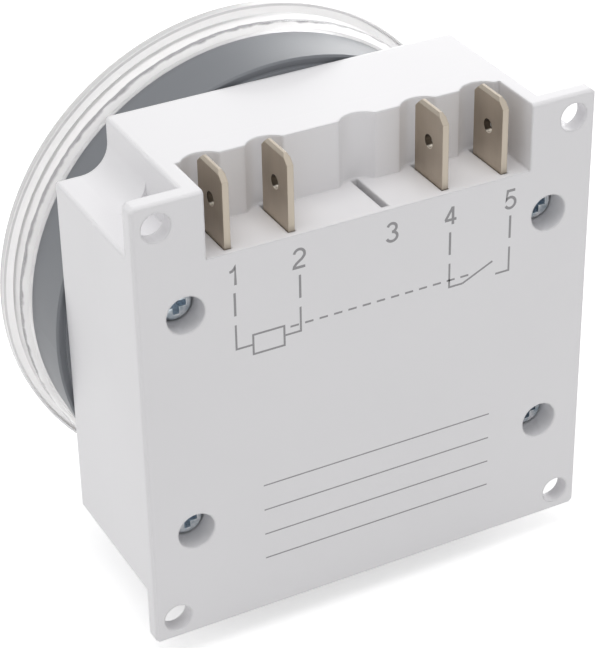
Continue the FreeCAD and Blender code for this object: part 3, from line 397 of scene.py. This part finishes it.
rolled_lines = add_node(tree, "ShaderNodeBump", {"Strength": 0.25, "Distance": blade_relief / 1000},
                        {"Height": (lines, "Fac"), "Normal": (soft_edge, "Normal")})
blade = add_node(tree, "ShaderNodeBsdfPrincipled", {"Metallic": 1.0},
                 {"Base Color": (blade_tone, mixed), "Roughness": (blade_sheen, "Result"),
                  "Normal": (rolled_lines, "Normal")})
add_node(tree, "ShaderNodeOutputMaterial", links={"Surface": (blade, "BSDF")})
dress(blade_nickel, "terminal_1", "terminal_2", "terminal_4", "terminal_5")


# Rear case. A square box moulded in white polymer with a 2 mm back plate, four ears, four deep
# screw wells and a scalloped recess round the terminals. It is the part that is screwed to a panel.

# ABS, moulded on a fine sparked face: a clean cool white, satin, with soft edges. The real texture
# is about 0.05 mm and is drawn at 0.18 mm, the finest that shows.
seam_depth = 11.0
white_plastic = moulded("moulded_white_abs", "#E6E5E7", 0.4, 1.54,
                        grain=0.18, depth=0.004, edge=0.5, drift=0.012, seam=seam_depth)
dress(white_plastic, "rear_case")


def printed(name, strokes, width, level, side, finish):
    """Lines of ink on a flat face square to Y. Strokes are lists of points across and up, in
    millimetres, as someone facing that side reads them: side is 1 on the back and -1 on the front.
    Each stroke is a thin ribbon with mitred corners, and its level differs by a micron or more from
    the last one's, so that the two don't lie in one plane where they cross."""
    film, film_step, film_steps = 0.004, 0.001, 5
    sharpest_mitre, touching = 0.5, 1e-6
    mesh = bmesh.new()
    for count, stroke in enumerate(strokes):
        points = [Vector(p) for p in stroke]
        closed = (points[0] - points[-1]).length < touching
        if closed:
            points.pop()
        edges = []
        for i, point in enumerate(points):
            before = point - points[i - 1] if i or closed else points[1] - point
            ahead = points[(i + 1) % len(points)] - point if i < len(points) - 1 or closed else before
            along = (before.normalized() + ahead.normalized()).normalized()
            across = Vector((-along.y, along.x))
            square_on = across.dot(Vector((-before.y, before.x)).normalized())
            reach = width / 2 / max(sharpest_mitre, square_on)
            edges.append((point + across * reach, point - across * reach))
        top = film + film_step * (count % film_steps)
        rings = []
        for left, right in edges:
            ring = ((left, top), (left, -film), (right, -film), (right, top))
            rings.append([mesh.verts.new((-side * p.x / 1000, level + side * h / 1000, p.y / 1000))
                          for p, h in ring])
        for i in range(len(rings) - (0 if closed else 1)):
            this, following = rings[i], rings[(i + 1) % len(rings)]
            for k in range(4):
                mesh.faces.new((this[k], this[k - 1], following[k - 1], following[k]))
        if not closed:
            mesh.faces.new(rings[0])
            mesh.faces.new(rings[-1][::-1])
    bmesh.ops.recalc_face_normals(mesh, faces=mesh.faces)
    data = bpy.data.meshes.new(name)
    mesh.to_mesh(data)
    mesh.free()
    piece = bpy.data.objects.new(name, data)
    bpy.context.scene.collection.objects.link(piece)
    data.materials.append(finish)
    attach(piece, "timer")


def arc(x, y, wide, high, start, end, steps=14):
    """Points of an elliptical arc, from one angle to another in degrees."""
    angles = [math.radians(start + (end - start) * i / steps) for i in range(steps + 1)]
    return [(x + wide * math.cos(a), y + high * math.sin(a)) for a in angles]


# Each figure or letter is drawn in a cell one unit high, as a plain sans serif.
figures = {
    "0": [arc(0.30, 0.50, 0.25, 0.50, 90, 450, 28)],
    "1": [[(0.12, 0.76), (0.24, 0.80), (0.33, 0.90), (0.37, 1.0), (0.37, 0.0)]],
    "2": [arc(0.30, 0.71, 0.24, 0.29, 168, -22)
          + [(0.42, 0.45), (0.17, 0.24), (0.07, 0.10), (0.05, 0.0), (0.56, 0.0)]],
    "3": [arc(0.29, 0.76, 0.21, 0.24, 162, -90), arc(0.29, 0.26, 0.25, 0.26, 90, -162)],
    "4": [[(0.43, 0.0), (0.43, 1.0)], [(0.42, 0.99), (0.07, 0.29)], [(0.05, 0.28), (0.60, 0.28)]],
    "5": [[(0.51, 1.0), (0.15, 1.0), (0.09, 0.49)] + arc(0.28, 0.31, 0.25, 0.31, 128, -152)],
    "O": [arc(0.40, 0.50, 0.36, 0.50, 90, 450, 28)],
    "N": [[(0.08, 0.0), (0.08, 1.0), (0.66, 0.0), (0.66, 1.0)]],
    "F": [[(0.10, 0.0), (0.10, 1.0), (0.58, 1.0)], [(0.10, 0.53), (0.50, 0.53)]],
}
figure_width = 0.62


def written(text, x, y, height, breadth=1.0, advance=0.82):
    """Strokes of a short text centred on a point, in millimetres, as wide as its breadth says."""
    wide = height * breadth
    start = x - wide * (advance * (len(text) - 1) + figure_width) / 2
    return [[(start + wide * (advance * i + u), y + height * (v - 0.5)) for u, v in stroke]
            for i, sign in enumerate(text) for stroke in figures[sign]]


def thin_film(name, colour, starved_colour, spot, roughness):
    """A film a few microns thick on a flat face. The eye gets an even tone with spots of another
    where the film is starved. Spot is their size in millimetres."""
    finish, tree = new_finish(name)
    place = add_node(tree, "ShaderNodeTexCoord")
    starved = add_node(tree, "ShaderNodeTexNoise", {"Scale": per_mm(spot), "Detail": 2.0},
                       {"Vector": (place, "Object")})
    tone = add_node(tree, "ShaderNodeMix",
                    {"data_type": "RGBA", one: linear(colour), other: linear(starved_colour)},
                    {0: (starved, "Fac")})
    shader = add_node(tree, "ShaderNodeBsdfPrincipled", {"Roughness": roughness, "IOR": 1.5},
                      {"Base Color": (tone, mixed)})
    add_node(tree, "ShaderNodeOutputMaterial", links={"Surface": (shader, "BSDF")})
    return finish


# Pad-printed grey ink: matt, with tiny starved spots, drawn 0.15 mm across so that they show.
ink = thin_film("pad_printed_grey_ink", "#868587", "#A2A1A3", spot=0.15, roughness=0.6)

# Terminal numbers stand under their slots, with a leader line from each number that is wired.
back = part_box("rear_case")[1].y
number_centre, number_height, number_breadth, number_line = 18.3, 2.35, 1.2, 0.35
leader_top, leader_foot, leader_line = 16.1, 13.05, 0.3
terminal_places = {"1": -17.9, "2": -9.6, "3": 2.5, "4": 10.3, "5": 18.6}
numbers = [stroke for text, x in terminal_places.items()
           for stroke in written(text, x, number_centre, number_height, number_breadth)]
printed("terminal_numbers", numbers, number_line, back, 1, ink)
leaders = [[(terminal_places[n], leader_top), (terminal_places[n], leader_foot)] for n in "1245"]
printed("leader_lines", leaders, leader_line, back, 1, ink)

# Below them is a plain wiring sketch: the coil between 1 and 2 and the switched contact between
# 4 and 5, joined by the dashed line that means one works the other.
sketch_line, sketch_level, lead_top = 0.255, 8.6, 11.85
coil_half_width, coil_half_height = 2.0, 1.3
contact_gap, arm_reach, arm_rise = 2.3, 1.84, 1.9
dash, dash_gap, dash_margin = 1.1, 0.8, 0.2
coil_centre = (terminal_places["1"] + terminal_places["2"]) / 2
contact_centre = (terminal_places["4"] + terminal_places["5"]) / 2
coil_left, coil_right = coil_centre - coil_half_width, coil_centre + coil_half_width
coil_low, coil_high = sketch_level - coil_half_height, sketch_level + coil_half_height
lead_ends = {"1": coil_left, "2": coil_right,
             "4": contact_centre - contact_gap, "5": contact_centre + contact_gap}
sketch = [[(terminal_places[n], lead_top), (terminal_places[n], sketch_level), (end, sketch_level)]
          for n, end in lead_ends.items()]
sketch.append([(coil_left, coil_low), (coil_right, coil_low), (coil_right, coil_high),
               (coil_left, coil_high), (coil_left, coil_low)])
sketch.append([(lead_ends["4"], sketch_level), (contact_centre + arm_reach, sketch_level + arm_rise)])
dash_level = sketch_level + arm_rise / 2
dash_start = coil_right + dash_gap
while dash_start + dash < contact_centre - dash_margin:
    sketch.append([(dash_start, dash_level), (dash_start + dash, dash_level)])
    dash_start += dash + dash_gap
printed("wiring_sketch", sketch, sketch_line, back, 1, ink)

# At the foot is a bare ruled space for a note made by hand.
note_left, note_right, note_line = -15.0, 16.5, 0.18
note_lines = [[(note_left, level), (note_right, level)] for level in (-11.6, -15.2, -18.8, -22.4)]
printed("note_lines", note_lines, note_line, back, 1, ink)


# Control board. The round board behind the display carries the processor, its clock crystal and a
# coin cell that keeps the time when the mains is off. A row of pins joins it to the power board.
dress(black_epoxy, "processor_chip", "link_body", "cell_holder")
dress(tinned, "crystal")

# A coin cell's can is spun stainless steel: mirror bright with fine turning rings.
cell_steel = rolled_metal("spun_stainless_steel", "#CDCFD0", "#B5B7B9", 0.2,
                          line=0.25, run=6.0, edge=0.2, along="X")
dress(cell_steel, "backup_cell")

# The link pins are drawn brass wire with a thin gold flash.
pin_brass = rolled_metal("flashed_brass_wire", "#D8B765", "#B89548", 0.25,
                         line=0.1, run=2.0, edge=0.05, along="Y")
dress(pin_brass, "link_pins")

# Steel screws, zinc plated and passivated blue: a cold blue grey with a bright glint in the cross.
screw_zinc = rolled_metal("blue_zinc_steel", "#DCE6EC", "#5E7788", 0.16,
                          line=0.2, run=0.8, edge=0.15, along="Y")
dress(screw_zinc, "board_screws")


# Display. A liquid crystal glass in a plastic holder, lit from behind by an edge-lit slab and
# joined to the board by two striped rubber connectors.
dress(ivory_nylon, "lcd_holder")

# The slab is milky acrylic, moulded and polished: an even, soft white.
milky_acrylic = moulded("moulded_milky_acrylic", "#EEF1EA", 0.3, 1.49, grain=0.5, depth=0.004, edge=0.2)
dress(milky_acrylic, "backlight")

# Carbon-filled and plain silicone are sliced in turns 0.18 mm wide, drawn 0.5 mm wide so that they
# show: a dull rubber in black and cream stripes.
stripe_pitch = 0.5
carbon_colour, silicone_colour = "#1B1B1C", "#C9C6BF"
striped, tree = new_finish("striped_silicone")
place = add_node(tree, "ShaderNodeTexCoord")
layers = add_node(tree, "ShaderNodeTexWave", {"bands_direction": "X", "Scale": bands(stripe_pitch)},
                  {"Vector": (place, "Object")})
layer_edge = add_node(tree, "ShaderNodeMath", {"operation": "GREATER_THAN", 1: 0.5}, {0: (layers, "Fac")})
layer_tone = add_node(tree, "ShaderNodeMix",
                      {"data_type": "RGBA", one: linear(carbon_colour), other: linear(silicone_colour)},
                      {0: (layer_edge, "Value")})
silicone = add_node(tree, "ShaderNodeBsdfPrincipled", {"Roughness": 0.6, "IOR": 1.41},
                    {"Base Color": (layer_tone, mixed)})
add_node(tree, "ShaderNodeOutputMaterial", links={"Surface": (silicone, "BSDF")})
dress(striped, "zebra_strips")

# Reflective display glass: a grey green, flat and glossy, with the brushed look of its polariser.
glass_colour, brushed_colour = "#A3AC98", "#959E8B"
brush_line, brush_drawn_out = 0.2, 0.05
display_glass, tree = new_finish("reflective_display_glass")
place = add_node(tree, "ShaderNodeTexCoord")
stretched = add_node(tree, "ShaderNodeMapping", {"Scale": (1.0, 1.0, brush_drawn_out)},
                     {"Vector": (place, "Object")})
brushed = add_node(tree, "ShaderNodeTexNoise", {"Scale": per_mm(brush_line), "Detail": 3.0},
                   {"Vector": (stretched, "Vector")})
glass_tone = add_node(tree, "ShaderNodeMix",
                      {"data_type": "RGBA", one: linear(glass_colour), other: linear(brushed_colour)},
                      {0: (brushed, "Fac")})
glass = add_node(tree, "ShaderNodeBsdfPrincipled",
                 {"Roughness": 0.35, "IOR": 1.5, "Coat Weight": 0.4, "Coat Roughness": 0.04},
                 {"Base Color": (glass_tone, mixed)})
add_node(tree, "ShaderNodeOutputMaterial", links={"Surface": (glass, "BSDF")})
dress(display_glass, "lcd_glass")

# Switched-on crystal is a blue black with a slight sheen and a slow change of depth.
crystal_ink = thin_film("dark_liquid_crystal", "#14181B", "#1E2327", spot=1.5, roughness=0.3)

# The display reads 12:00 in slanted bars that stop short of their corners, with a mark for each
# day of the week along its top.
digit_height, digit_width, digit_slant = 8.4, 4.6, 0.09
bar_width, bar_trim = 0.95, 0.56
display_centre, colon_rise = 8.0, 1.9
digit_places = {-10.4: "1", -4.2: "2", 4.2: "0", 10.4: "0"}
bars_of = {"0": "abcdef", "1": "bc", "2": "abged"}
corners = {"a": ((0, 1), (1, 1)), "b": ((1, 1), (1, 0.5)), "c": ((1, 0.5), (1, 0)), "d": ((0, 0), (1, 0)),
           "e": ((0, 0.5), (0, 0)), "f": ((0, 1), (0, 0.5)), "g": ((0, 0.5), (1, 0.5))}
reading = []
for centre, digit in digit_places.items():
    for bar in bars_of[digit]:
        ends = [Vector((centre + digit_width * (u - 0.5) + digit_slant * digit_height * (v - 0.5),
                        display_centre + digit_height * (v - 0.5))) for u, v in corners[bar]]
        trim = (ends[1] - ends[0]).normalized() * bar_trim
        reading.append([ends[0] + trim, ends[1] - trim])
for rise in (-colon_rise, colon_rise):
    dot = display_centre + rise
    reading.append([(digit_slant * rise, dot - bar_width / 2), (digit_slant * rise, dot + bar_width / 2)])
display_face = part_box("lcd_glass")[0].y
printed("display_digits", reading, bar_width, display_face, -1, crystal_ink)
day_level, day_pitch, day_mark, day_line = 13.9, 4.2, 1.5, 0.45
day_centres = [day_pitch * day for day in range(-3, 4)]
days = [[(centre - day_mark / 2, day_level), (centre + day_mark / 2, day_level)] for centre in day_centres]
printed("display_day_marks", days, day_line, display_face, -1, crystal_ink)


# Front housing. A round cup moulded in grey polymer that drops into a hole in a panel. Its face
# has the display window, the key openings and the rim that the cover clips on.

# ABS with a grey pigment, moulded on a finely blasted face: an even satin grey that spreads the
# light into long soft bands along the drum.
grey_plastic = moulded("moulded_grey_abs", "#6C6F74", 0.44, 1.54,
                       grain=0.2, depth=0.003, edge=0.2, drift=0.015)
dress(grey_plastic, "front_housing")


def clear_surface(tree, plastic):
    """The surface of a clear plastic. A lamp's light passes through it undimmed but for a trace
    of grey, so its shadow is faint."""
    trace_of_grey = "#F1F2F3"
    shade = add_node(tree, "ShaderNodeBsdfTransparent", {"Color": linear(trace_of_grey)})
    ray = add_node(tree, "ShaderNodeLightPath")
    pane = add_node(tree, "ShaderNodeMixShader",
                    links={0: (ray, "Is Shadow Ray"), 1: (plastic, "BSDF"), 2: (shade, "BSDF")})
    add_node(tree, "ShaderNodeOutputMaterial", links={"Surface": (pane, "Shader")})


# Acrylic sheet, laser cut and welded in: water clear with a hard bright edge and very slow waves.
sheet_wave, sheet_relief = 30.0, 0.02
window_acrylic, tree = new_finish("cut_clear_acrylic")
place = add_node(tree, "ShaderNodeTexCoord")
waves = add_node(tree, "ShaderNodeTexNoise", {"Scale": per_mm(sheet_wave), "Detail": 1.0},
                 {"Vector": (place, "Object")})
wavy = add_node(tree, "ShaderNodeBump", {"Strength": 0.2, "Distance": sheet_relief / 1000},
                {"Height": (waves, "Fac")})
acrylic = add_node(tree, "ShaderNodeBsdfPrincipled",
                   {"Base Color": linear("#FAFCFB"), "IOR": 1.49, "Roughness": 0.01,
                    "Transmission Weight": 1.0},
                   {"Normal": (wavy, "Normal")})
clear_surface(tree, acrylic)
dress(window_acrylic, "display_window")

# A dark frame is screen printed on the window round the display: an even, dull near black.
frame_ink = thin_film("screen_printed_black_ink", "#1C1E21", "#26292C", spot=0.2, roughness=0.5)
window_low, window_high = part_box("display_window")
front_level = window_low.y
frame_line, frame_inset = 1.3, 0.95
left, right = window_low.x * 1000 + frame_inset, window_high.x * 1000 - frame_inset
foot, head = window_low.z * 1000 + frame_inset, window_high.z * 1000 - frame_inset
frame_round = [(left, foot), (right, foot), (right, head), (left, head), (left, foot)]
printed("window_frame", [frame_round], frame_line, front_level, -1, frame_ink)

# Silicone rubber keys, compression moulded on one mat: matt and slightly chalky.
pale_rubber = moulded("moulded_pale_silicone", "#BFC2C4", 0.6, 1.41, grain=0.25, depth=0.006, edge=0.35)
orange_rubber = moulded("moulded_orange_silicone", "#C7591C", 0.58, 1.41, grain=0.25, depth=0.006, edge=0.35)
grey_rubber = moulded("moulded_mid_grey_silicone", "#999C9E", 0.65, 1.41, grain=0.25, depth=0.01, edge=0.3)
dress(pale_rubber, "key_1", "key_2", "key_3", "key_4", "reset_key")
dress(orange_rubber, "manual_key")
dress(grey_rubber, "key_mat")

# The lamp is a red epoxy bullet, cast in a polished cup: a deep red under a hard gloss.
lamp_resin = moulded("cast_red_epoxy", "#B3231B", 0.12, 1.55, grain=1.0, depth=0.002, edge=0.15)
dress(lamp_resin, "status_led")

# Pad-printed white ink, matt, with the same starved spots as the grey one.
white_ink = thin_film("pad_printed_white_ink", "#F2F2F0", "#D9DAD9", spot=0.15, roughness=0.55)

# Key marks stand above the keys: a clock, plus, minus and a triangle for the next step. The wide
# key is marked ON and OFF, with a slash between them.
mark_level, mark_half, mark_line = -3.0, 0.95, 0.26
hand_up, hand_across = 0.6, 0.45
arrow_tail, arrow_tip, arrow_half = 0.7, 0.8, 0.9
clock, plus, minus, step = [(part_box(f"key_{n}")[0].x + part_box(f"key_{n}")[1].x) * 500 for n in range(1, 5)]
marks = [arc(clock, mark_level, mark_half, mark_half, 90, 450, 24),
         [(clock, mark_level + hand_up), (clock, mark_level), (clock + hand_across, mark_level)],
         [(plus - mark_half, mark_level), (plus + mark_half, mark_level)],
         [(plus, mark_level - mark_half), (plus, mark_level + mark_half)],
         [(minus - mark_half, mark_level), (minus + mark_half, mark_level)],
         [(step - arrow_tail, mark_level - arrow_half), (step + arrow_tip, mark_level),
          (step - arrow_tail, mark_level + arrow_half), (step - arrow_tail, mark_level - arrow_half)]]
switch_level, switch_offset, switch_height, switch_advance = -22.6, 4.2, 1.7, 0.92
slash_across, slash_up = 0.45, 1.0
marks += written("ON", -switch_offset, switch_level, switch_height, advance=switch_advance)
marks += written("OFF", switch_offset, switch_level, switch_height, advance=switch_advance)
marks.append([(-slash_across, switch_level - slash_up), (slash_across, switch_level + slash_up)])
printed("key_marks", marks, mark_line, front_level, -1, white_ink)


# Front case. The other half of the white box, moulded in the same polymer, with the round mouth
# that takes the grey housing. Four long screws, driven from the back, close the box.
dress(white_plastic, "front_case")

# The same blue zinc, brighter on the heads, with painted shade: below the face of the heads, in
# their crosses and round their rims, the colour is painted darker, so each cross stands out.
# Painted shade starts this far below the face of the heads.
shaded_depth = 0.3
head_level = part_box("case_screws")[1].y - shaded_depth / 1000
shaded_zinc = rolled_metal("blue_zinc_steel_painted_shade", "#FBFCFD", "#B4C3CC", 0.14,
                         line=0.2, run=0.8, edge=0.12, along="Y", below=head_level, recess_shade_colour="#B9C2CA")
dress(shaded_zinc, "case_screws")


# Cover. A clear disc moulded in one with a short skirt that snaps over the rim of the grey
# housing, on a rubber ring. It keeps splashes and fingers off the keys.

# Silicone cord ring, moulded: matt dark grey.
seal_rubber = moulded("moulded_grey_silicone", "#3C3E41", 0.6, 1.41, grain=0.3, depth=0.01, edge=0.1)
dress(seal_rubber, "cover_seal")


def drawn_line(tree, level, half, strength, source, output):
    """A soft line where a node's output passes a level in metres. Half is half of its width in
    millimetres, and it fades out over as much again on each side."""
    off_line = distance_from(tree, level, source, output)
    return add_node(tree, "ShaderNodeMapRange",
                    {"From Min": half / 1000, "From Max": 2 * half / 1000, "To Min": strength, "To Max": 0.0},
                    {"Value": (off_line, "Value")})


# Polycarbonate, injection moulded. Its disc comes from a polished face and is clear. Its rim and
# skirt come from a blasted one and are a pale grey white, milkier round the wall than on the faces
# square to the axis, with a painted grey hairline of shade near the rim's edge, where the edge bends
# the light, and one wavy grey line where the rubber ring wets the skirt. Sizes are in millimetres.
cover_colour, wet_line_and_rim_shade_colour = "#FCFBFB", "#8C8B8E"
clear_radius, frost_fade = 30.3, 0.2
polished_roughness, frosted_roughness = 0.015, 0.25
wall_clearness, face_clearness = 0.48, 0.64
rim_line_inset, rim_line_half, rim_line_strength = 0.2, 0.08, 0.5
wet_line_depth, wet_line_half, wet_line_sway, sway_length = 32.35, 0.22, 0.6, 2.0
mould_wave, mould_relief = 8.0, 0.02
rim_line_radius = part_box("clear_cover")[1].x - rim_line_inset / 1000
polycarbonate, tree = new_finish("moulded_clear_polycarbonate")
place = add_node(tree, "ShaderNodeTexCoord")
parts = add_node(tree, "ShaderNodeSeparateXYZ", links={"Vector": (place, "Object")})
flat = add_node(tree, "ShaderNodeVectorMath", {"operation": "MULTIPLY", 1: (1.0, 0.0, 1.0)},
                {0: (place, "Object")})
radius = add_node(tree, "ShaderNodeVectorMath", {"operation": "LENGTH"}, {0: (flat, "Vector")})
frosted = add_node(tree, "ShaderNodeMapRange",
                   {"From Min": clear_radius / 1000, "From Max": (clear_radius + frost_fade) / 1000},
                   {"Value": (radius, "Value")})
frost = add_node(tree, "ShaderNodeMapRange", {"To Min": polished_roughness, "To Max": frosted_roughness},
                 {"Value": (frosted, "Result")})
facing = add_node(tree, "ShaderNodeNewGeometry")
facing_parts = add_node(tree, "ShaderNodeSeparateXYZ", links={"Vector": (facing, "True Normal")})
square_on = add_node(tree, "ShaderNodeMath", {"operation": "ABSOLUTE"}, {0: (facing_parts, "Y")})
blasted = add_node(tree, "ShaderNodeMapRange",
                   {"From Min": 0.5, "From Max": 0.9, "To Min": wall_clearness, "To Max": face_clearness},
                   {"Value": (square_on, "Value")})
milk = add_node(tree, "ShaderNodeMapRange", {"To Min": 1.0},
                {"Value": (frosted, "Result"), "To Max": (blasted, "Result")})
sway = add_node(tree, "ShaderNodeTexNoise", {"Scale": per_mm(sway_length), "Detail": 2.0},
                {"Vector": (place, "Object")})
swaying_depth = add_node(tree, "ShaderNodeMath", {"operation": "MULTIPLY_ADD", 1: wet_line_sway / 1000},
                         {0: (sway, "Fac"), 2: (parts, "Y")})
wet_line = drawn_line(tree, -(wet_line_depth - wet_line_sway / 2) / 1000, wet_line_half, 1.0,
                      swaying_depth, "Value")
wet_skirt = add_node(tree, "ShaderNodeMath", {"operation": "MULTIPLY"},
                     {0: (wet_line, "Result"), 1: (frosted, "Result")})
# Painted shade: a grey hairline just inside the rim's edge stands in for the light that the edge bends away.
painted_rim_shade = drawn_line(tree, rim_line_radius, rim_line_half, rim_line_strength, radius, "Value")
drawn = add_node(tree, "ShaderNodeMath", {"operation": "MAXIMUM"},
                 {0: (wet_skirt, "Value"), 1: (painted_rim_shade, "Result")})
cover_tone = add_node(tree, "ShaderNodeMix",
                      {"data_type": "RGBA", one: linear(cover_colour), other: linear(wet_line_and_rim_shade_colour)},
                      {0: (drawn, "Value")})
waves = add_node(tree, "ShaderNodeTexNoise", {"Scale": per_mm(mould_wave), "Detail": 1.0},
                 {"Vector": (place, "Object")})
wavy = add_node(tree, "ShaderNodeBump", {"Strength": 0.25, "Distance": mould_relief / 1000},
                {"Height": (waves, "Fac")})
cover_plastic = add_node(tree, "ShaderNodeBsdfPrincipled", {"IOR": 1.585},
                         {"Base Color": (cover_tone, mixed), "Roughness": (frost, "Result"),
                          "Transmission Weight": (milk, "Result"), "Normal": (wavy, "Normal")})
clear_surface(tree, cover_plastic)
dress(polycarbonate, "clear_cover")


# Stage. A plain white floor under the object, a white surround, and soft studio lamps: one large
# one above, a weak one beside the object, and one before its front, which shines through the rim.
floor_level = cad_box[0].z
floor_half = 3.0
mesh = bmesh.new()
bmesh.ops.create_grid(mesh, x_segments=1, y_segments=1, size=floor_half)
floor_data = bpy.data.meshes.new("floor")
mesh.to_mesh(floor_data)
mesh.free()
floor = bpy.data.objects.new("floor", floor_data)
bpy.context.scene.collection.objects.link(floor)
floor.location.z = floor_level


def seen_directly(tree):
    """A node that gives 1 to the camera and to what metal and glass show it, and 0 to the light
    that falls on the object."""
    ray = add_node(tree, "ShaderNodeLightPath")
    glossy = add_node(tree, "ShaderNodeMath", {"operation": "MAXIMUM"},
                      {0: (ray, "Is Camera Ray"), 1: (ray, "Is Glossy Ray")})
    return add_node(tree, "ShaderNodeMath", {"operation": "MAXIMUM"},
                    {0: (glossy, "Value"), 1: (ray, "Is Transmission Ray")})


# White paper: the light that it sends back is white, and what the camera sees of it is lifted to
# a clean background that still holds the shadow.
paper_colour, paper_lift = "#EDEDED", 0.45
paper, tree = new_finish("white_paper")
sheet = add_node(tree, "ShaderNodeBsdfDiffuse", {"Color": linear(paper_colour)})
lift = add_node(tree, "ShaderNodeEmission", {"Strength": paper_lift})
seen = add_node(tree, "ShaderNodeAddShader", links={0: (sheet, "BSDF"), 1: (lift, "Emission")})
direct = seen_directly(tree)
paper_mix = add_node(tree, "ShaderNodeMixShader",
                     links={0: (direct, "Value"), 1: (sheet, "BSDF"), 2: (seen, "Shader")})
add_node(tree, "ShaderNodeOutputMaterial", links={"Surface": (paper_mix, "Shader")})
floor_data.materials.append(paper)

# The surround gives an even light, and is plain white behind the object.
surround_light = 0.64
white = (1, 1, 1, 1)
world = bpy.data.worlds.new("white_surround")
bpy.context.scene.world = world
world.use_nodes = True
tree = world.node_tree
tree.nodes.clear()
room = add_node(tree, "ShaderNodeBackground", {"Color": white, "Strength": surround_light})
backdrop = add_node(tree, "ShaderNodeBackground", {"Color": white, "Strength": 1.0})
direct = seen_directly(tree)
sky = add_node(tree, "ShaderNodeMixShader",
               links={0: (direct, "Value"), 1: (room, "Background"), 2: (backdrop, "Background")})
add_node(tree, "ShaderNodeOutputWorld", links={"Surface": (sky, "Shader")})


def soft_lamp(name, place, size, power):
    """A square soft box that points at the object."""
    data = bpy.data.lights.new(name, "AREA")
    data.size = size
    data.energy = power
    lamp = bpy.data.objects.new(name, data)
    lamp.location = place
    lamp.rotation_euler = (-Vector(place)).to_track_quat("-Z", "Y").to_euler()
    bpy.context.scene.collection.objects.link(lamp)


soft_lamp("top_lamp", place=(0.05, 0.0, 0.8), size=0.7, power=2.9)
soft_lamp("side_lamp", place=(0.8, 0.1, 0.25), size=0.5, power=0.1)
soft_lamp("front_lamp", place=(-0.45, -0.7, 0.12), size=0.35, power=1.5)


# Camera. It stands behind and above the timer, a little to its terminal 1 side, with a long lens.
# Its sensor and lens are in millimetres, its place in metres and its turns in degrees.
camera_sensor, camera_lens = 36.0, 125.082
camera_place = (0.11024423, 0.19629440, 0.14646612)
camera_turns = (58.1608, 0.9753, 152.2754)
camera_data = bpy.data.cameras.new("camera")
camera_data.sensor_width = camera_sensor
camera_data.lens = camera_lens
camera = bpy.data.objects.new("camera", camera_data)
camera.location = camera_place
camera.rotation_euler = Euler([math.radians(turn) for turn in camera_turns])
bpy.context.scene.collection.objects.link(camera)
bpy.context.scene.camera = camera
bpy.context.scene.view_settings.view_transform = "Standard"
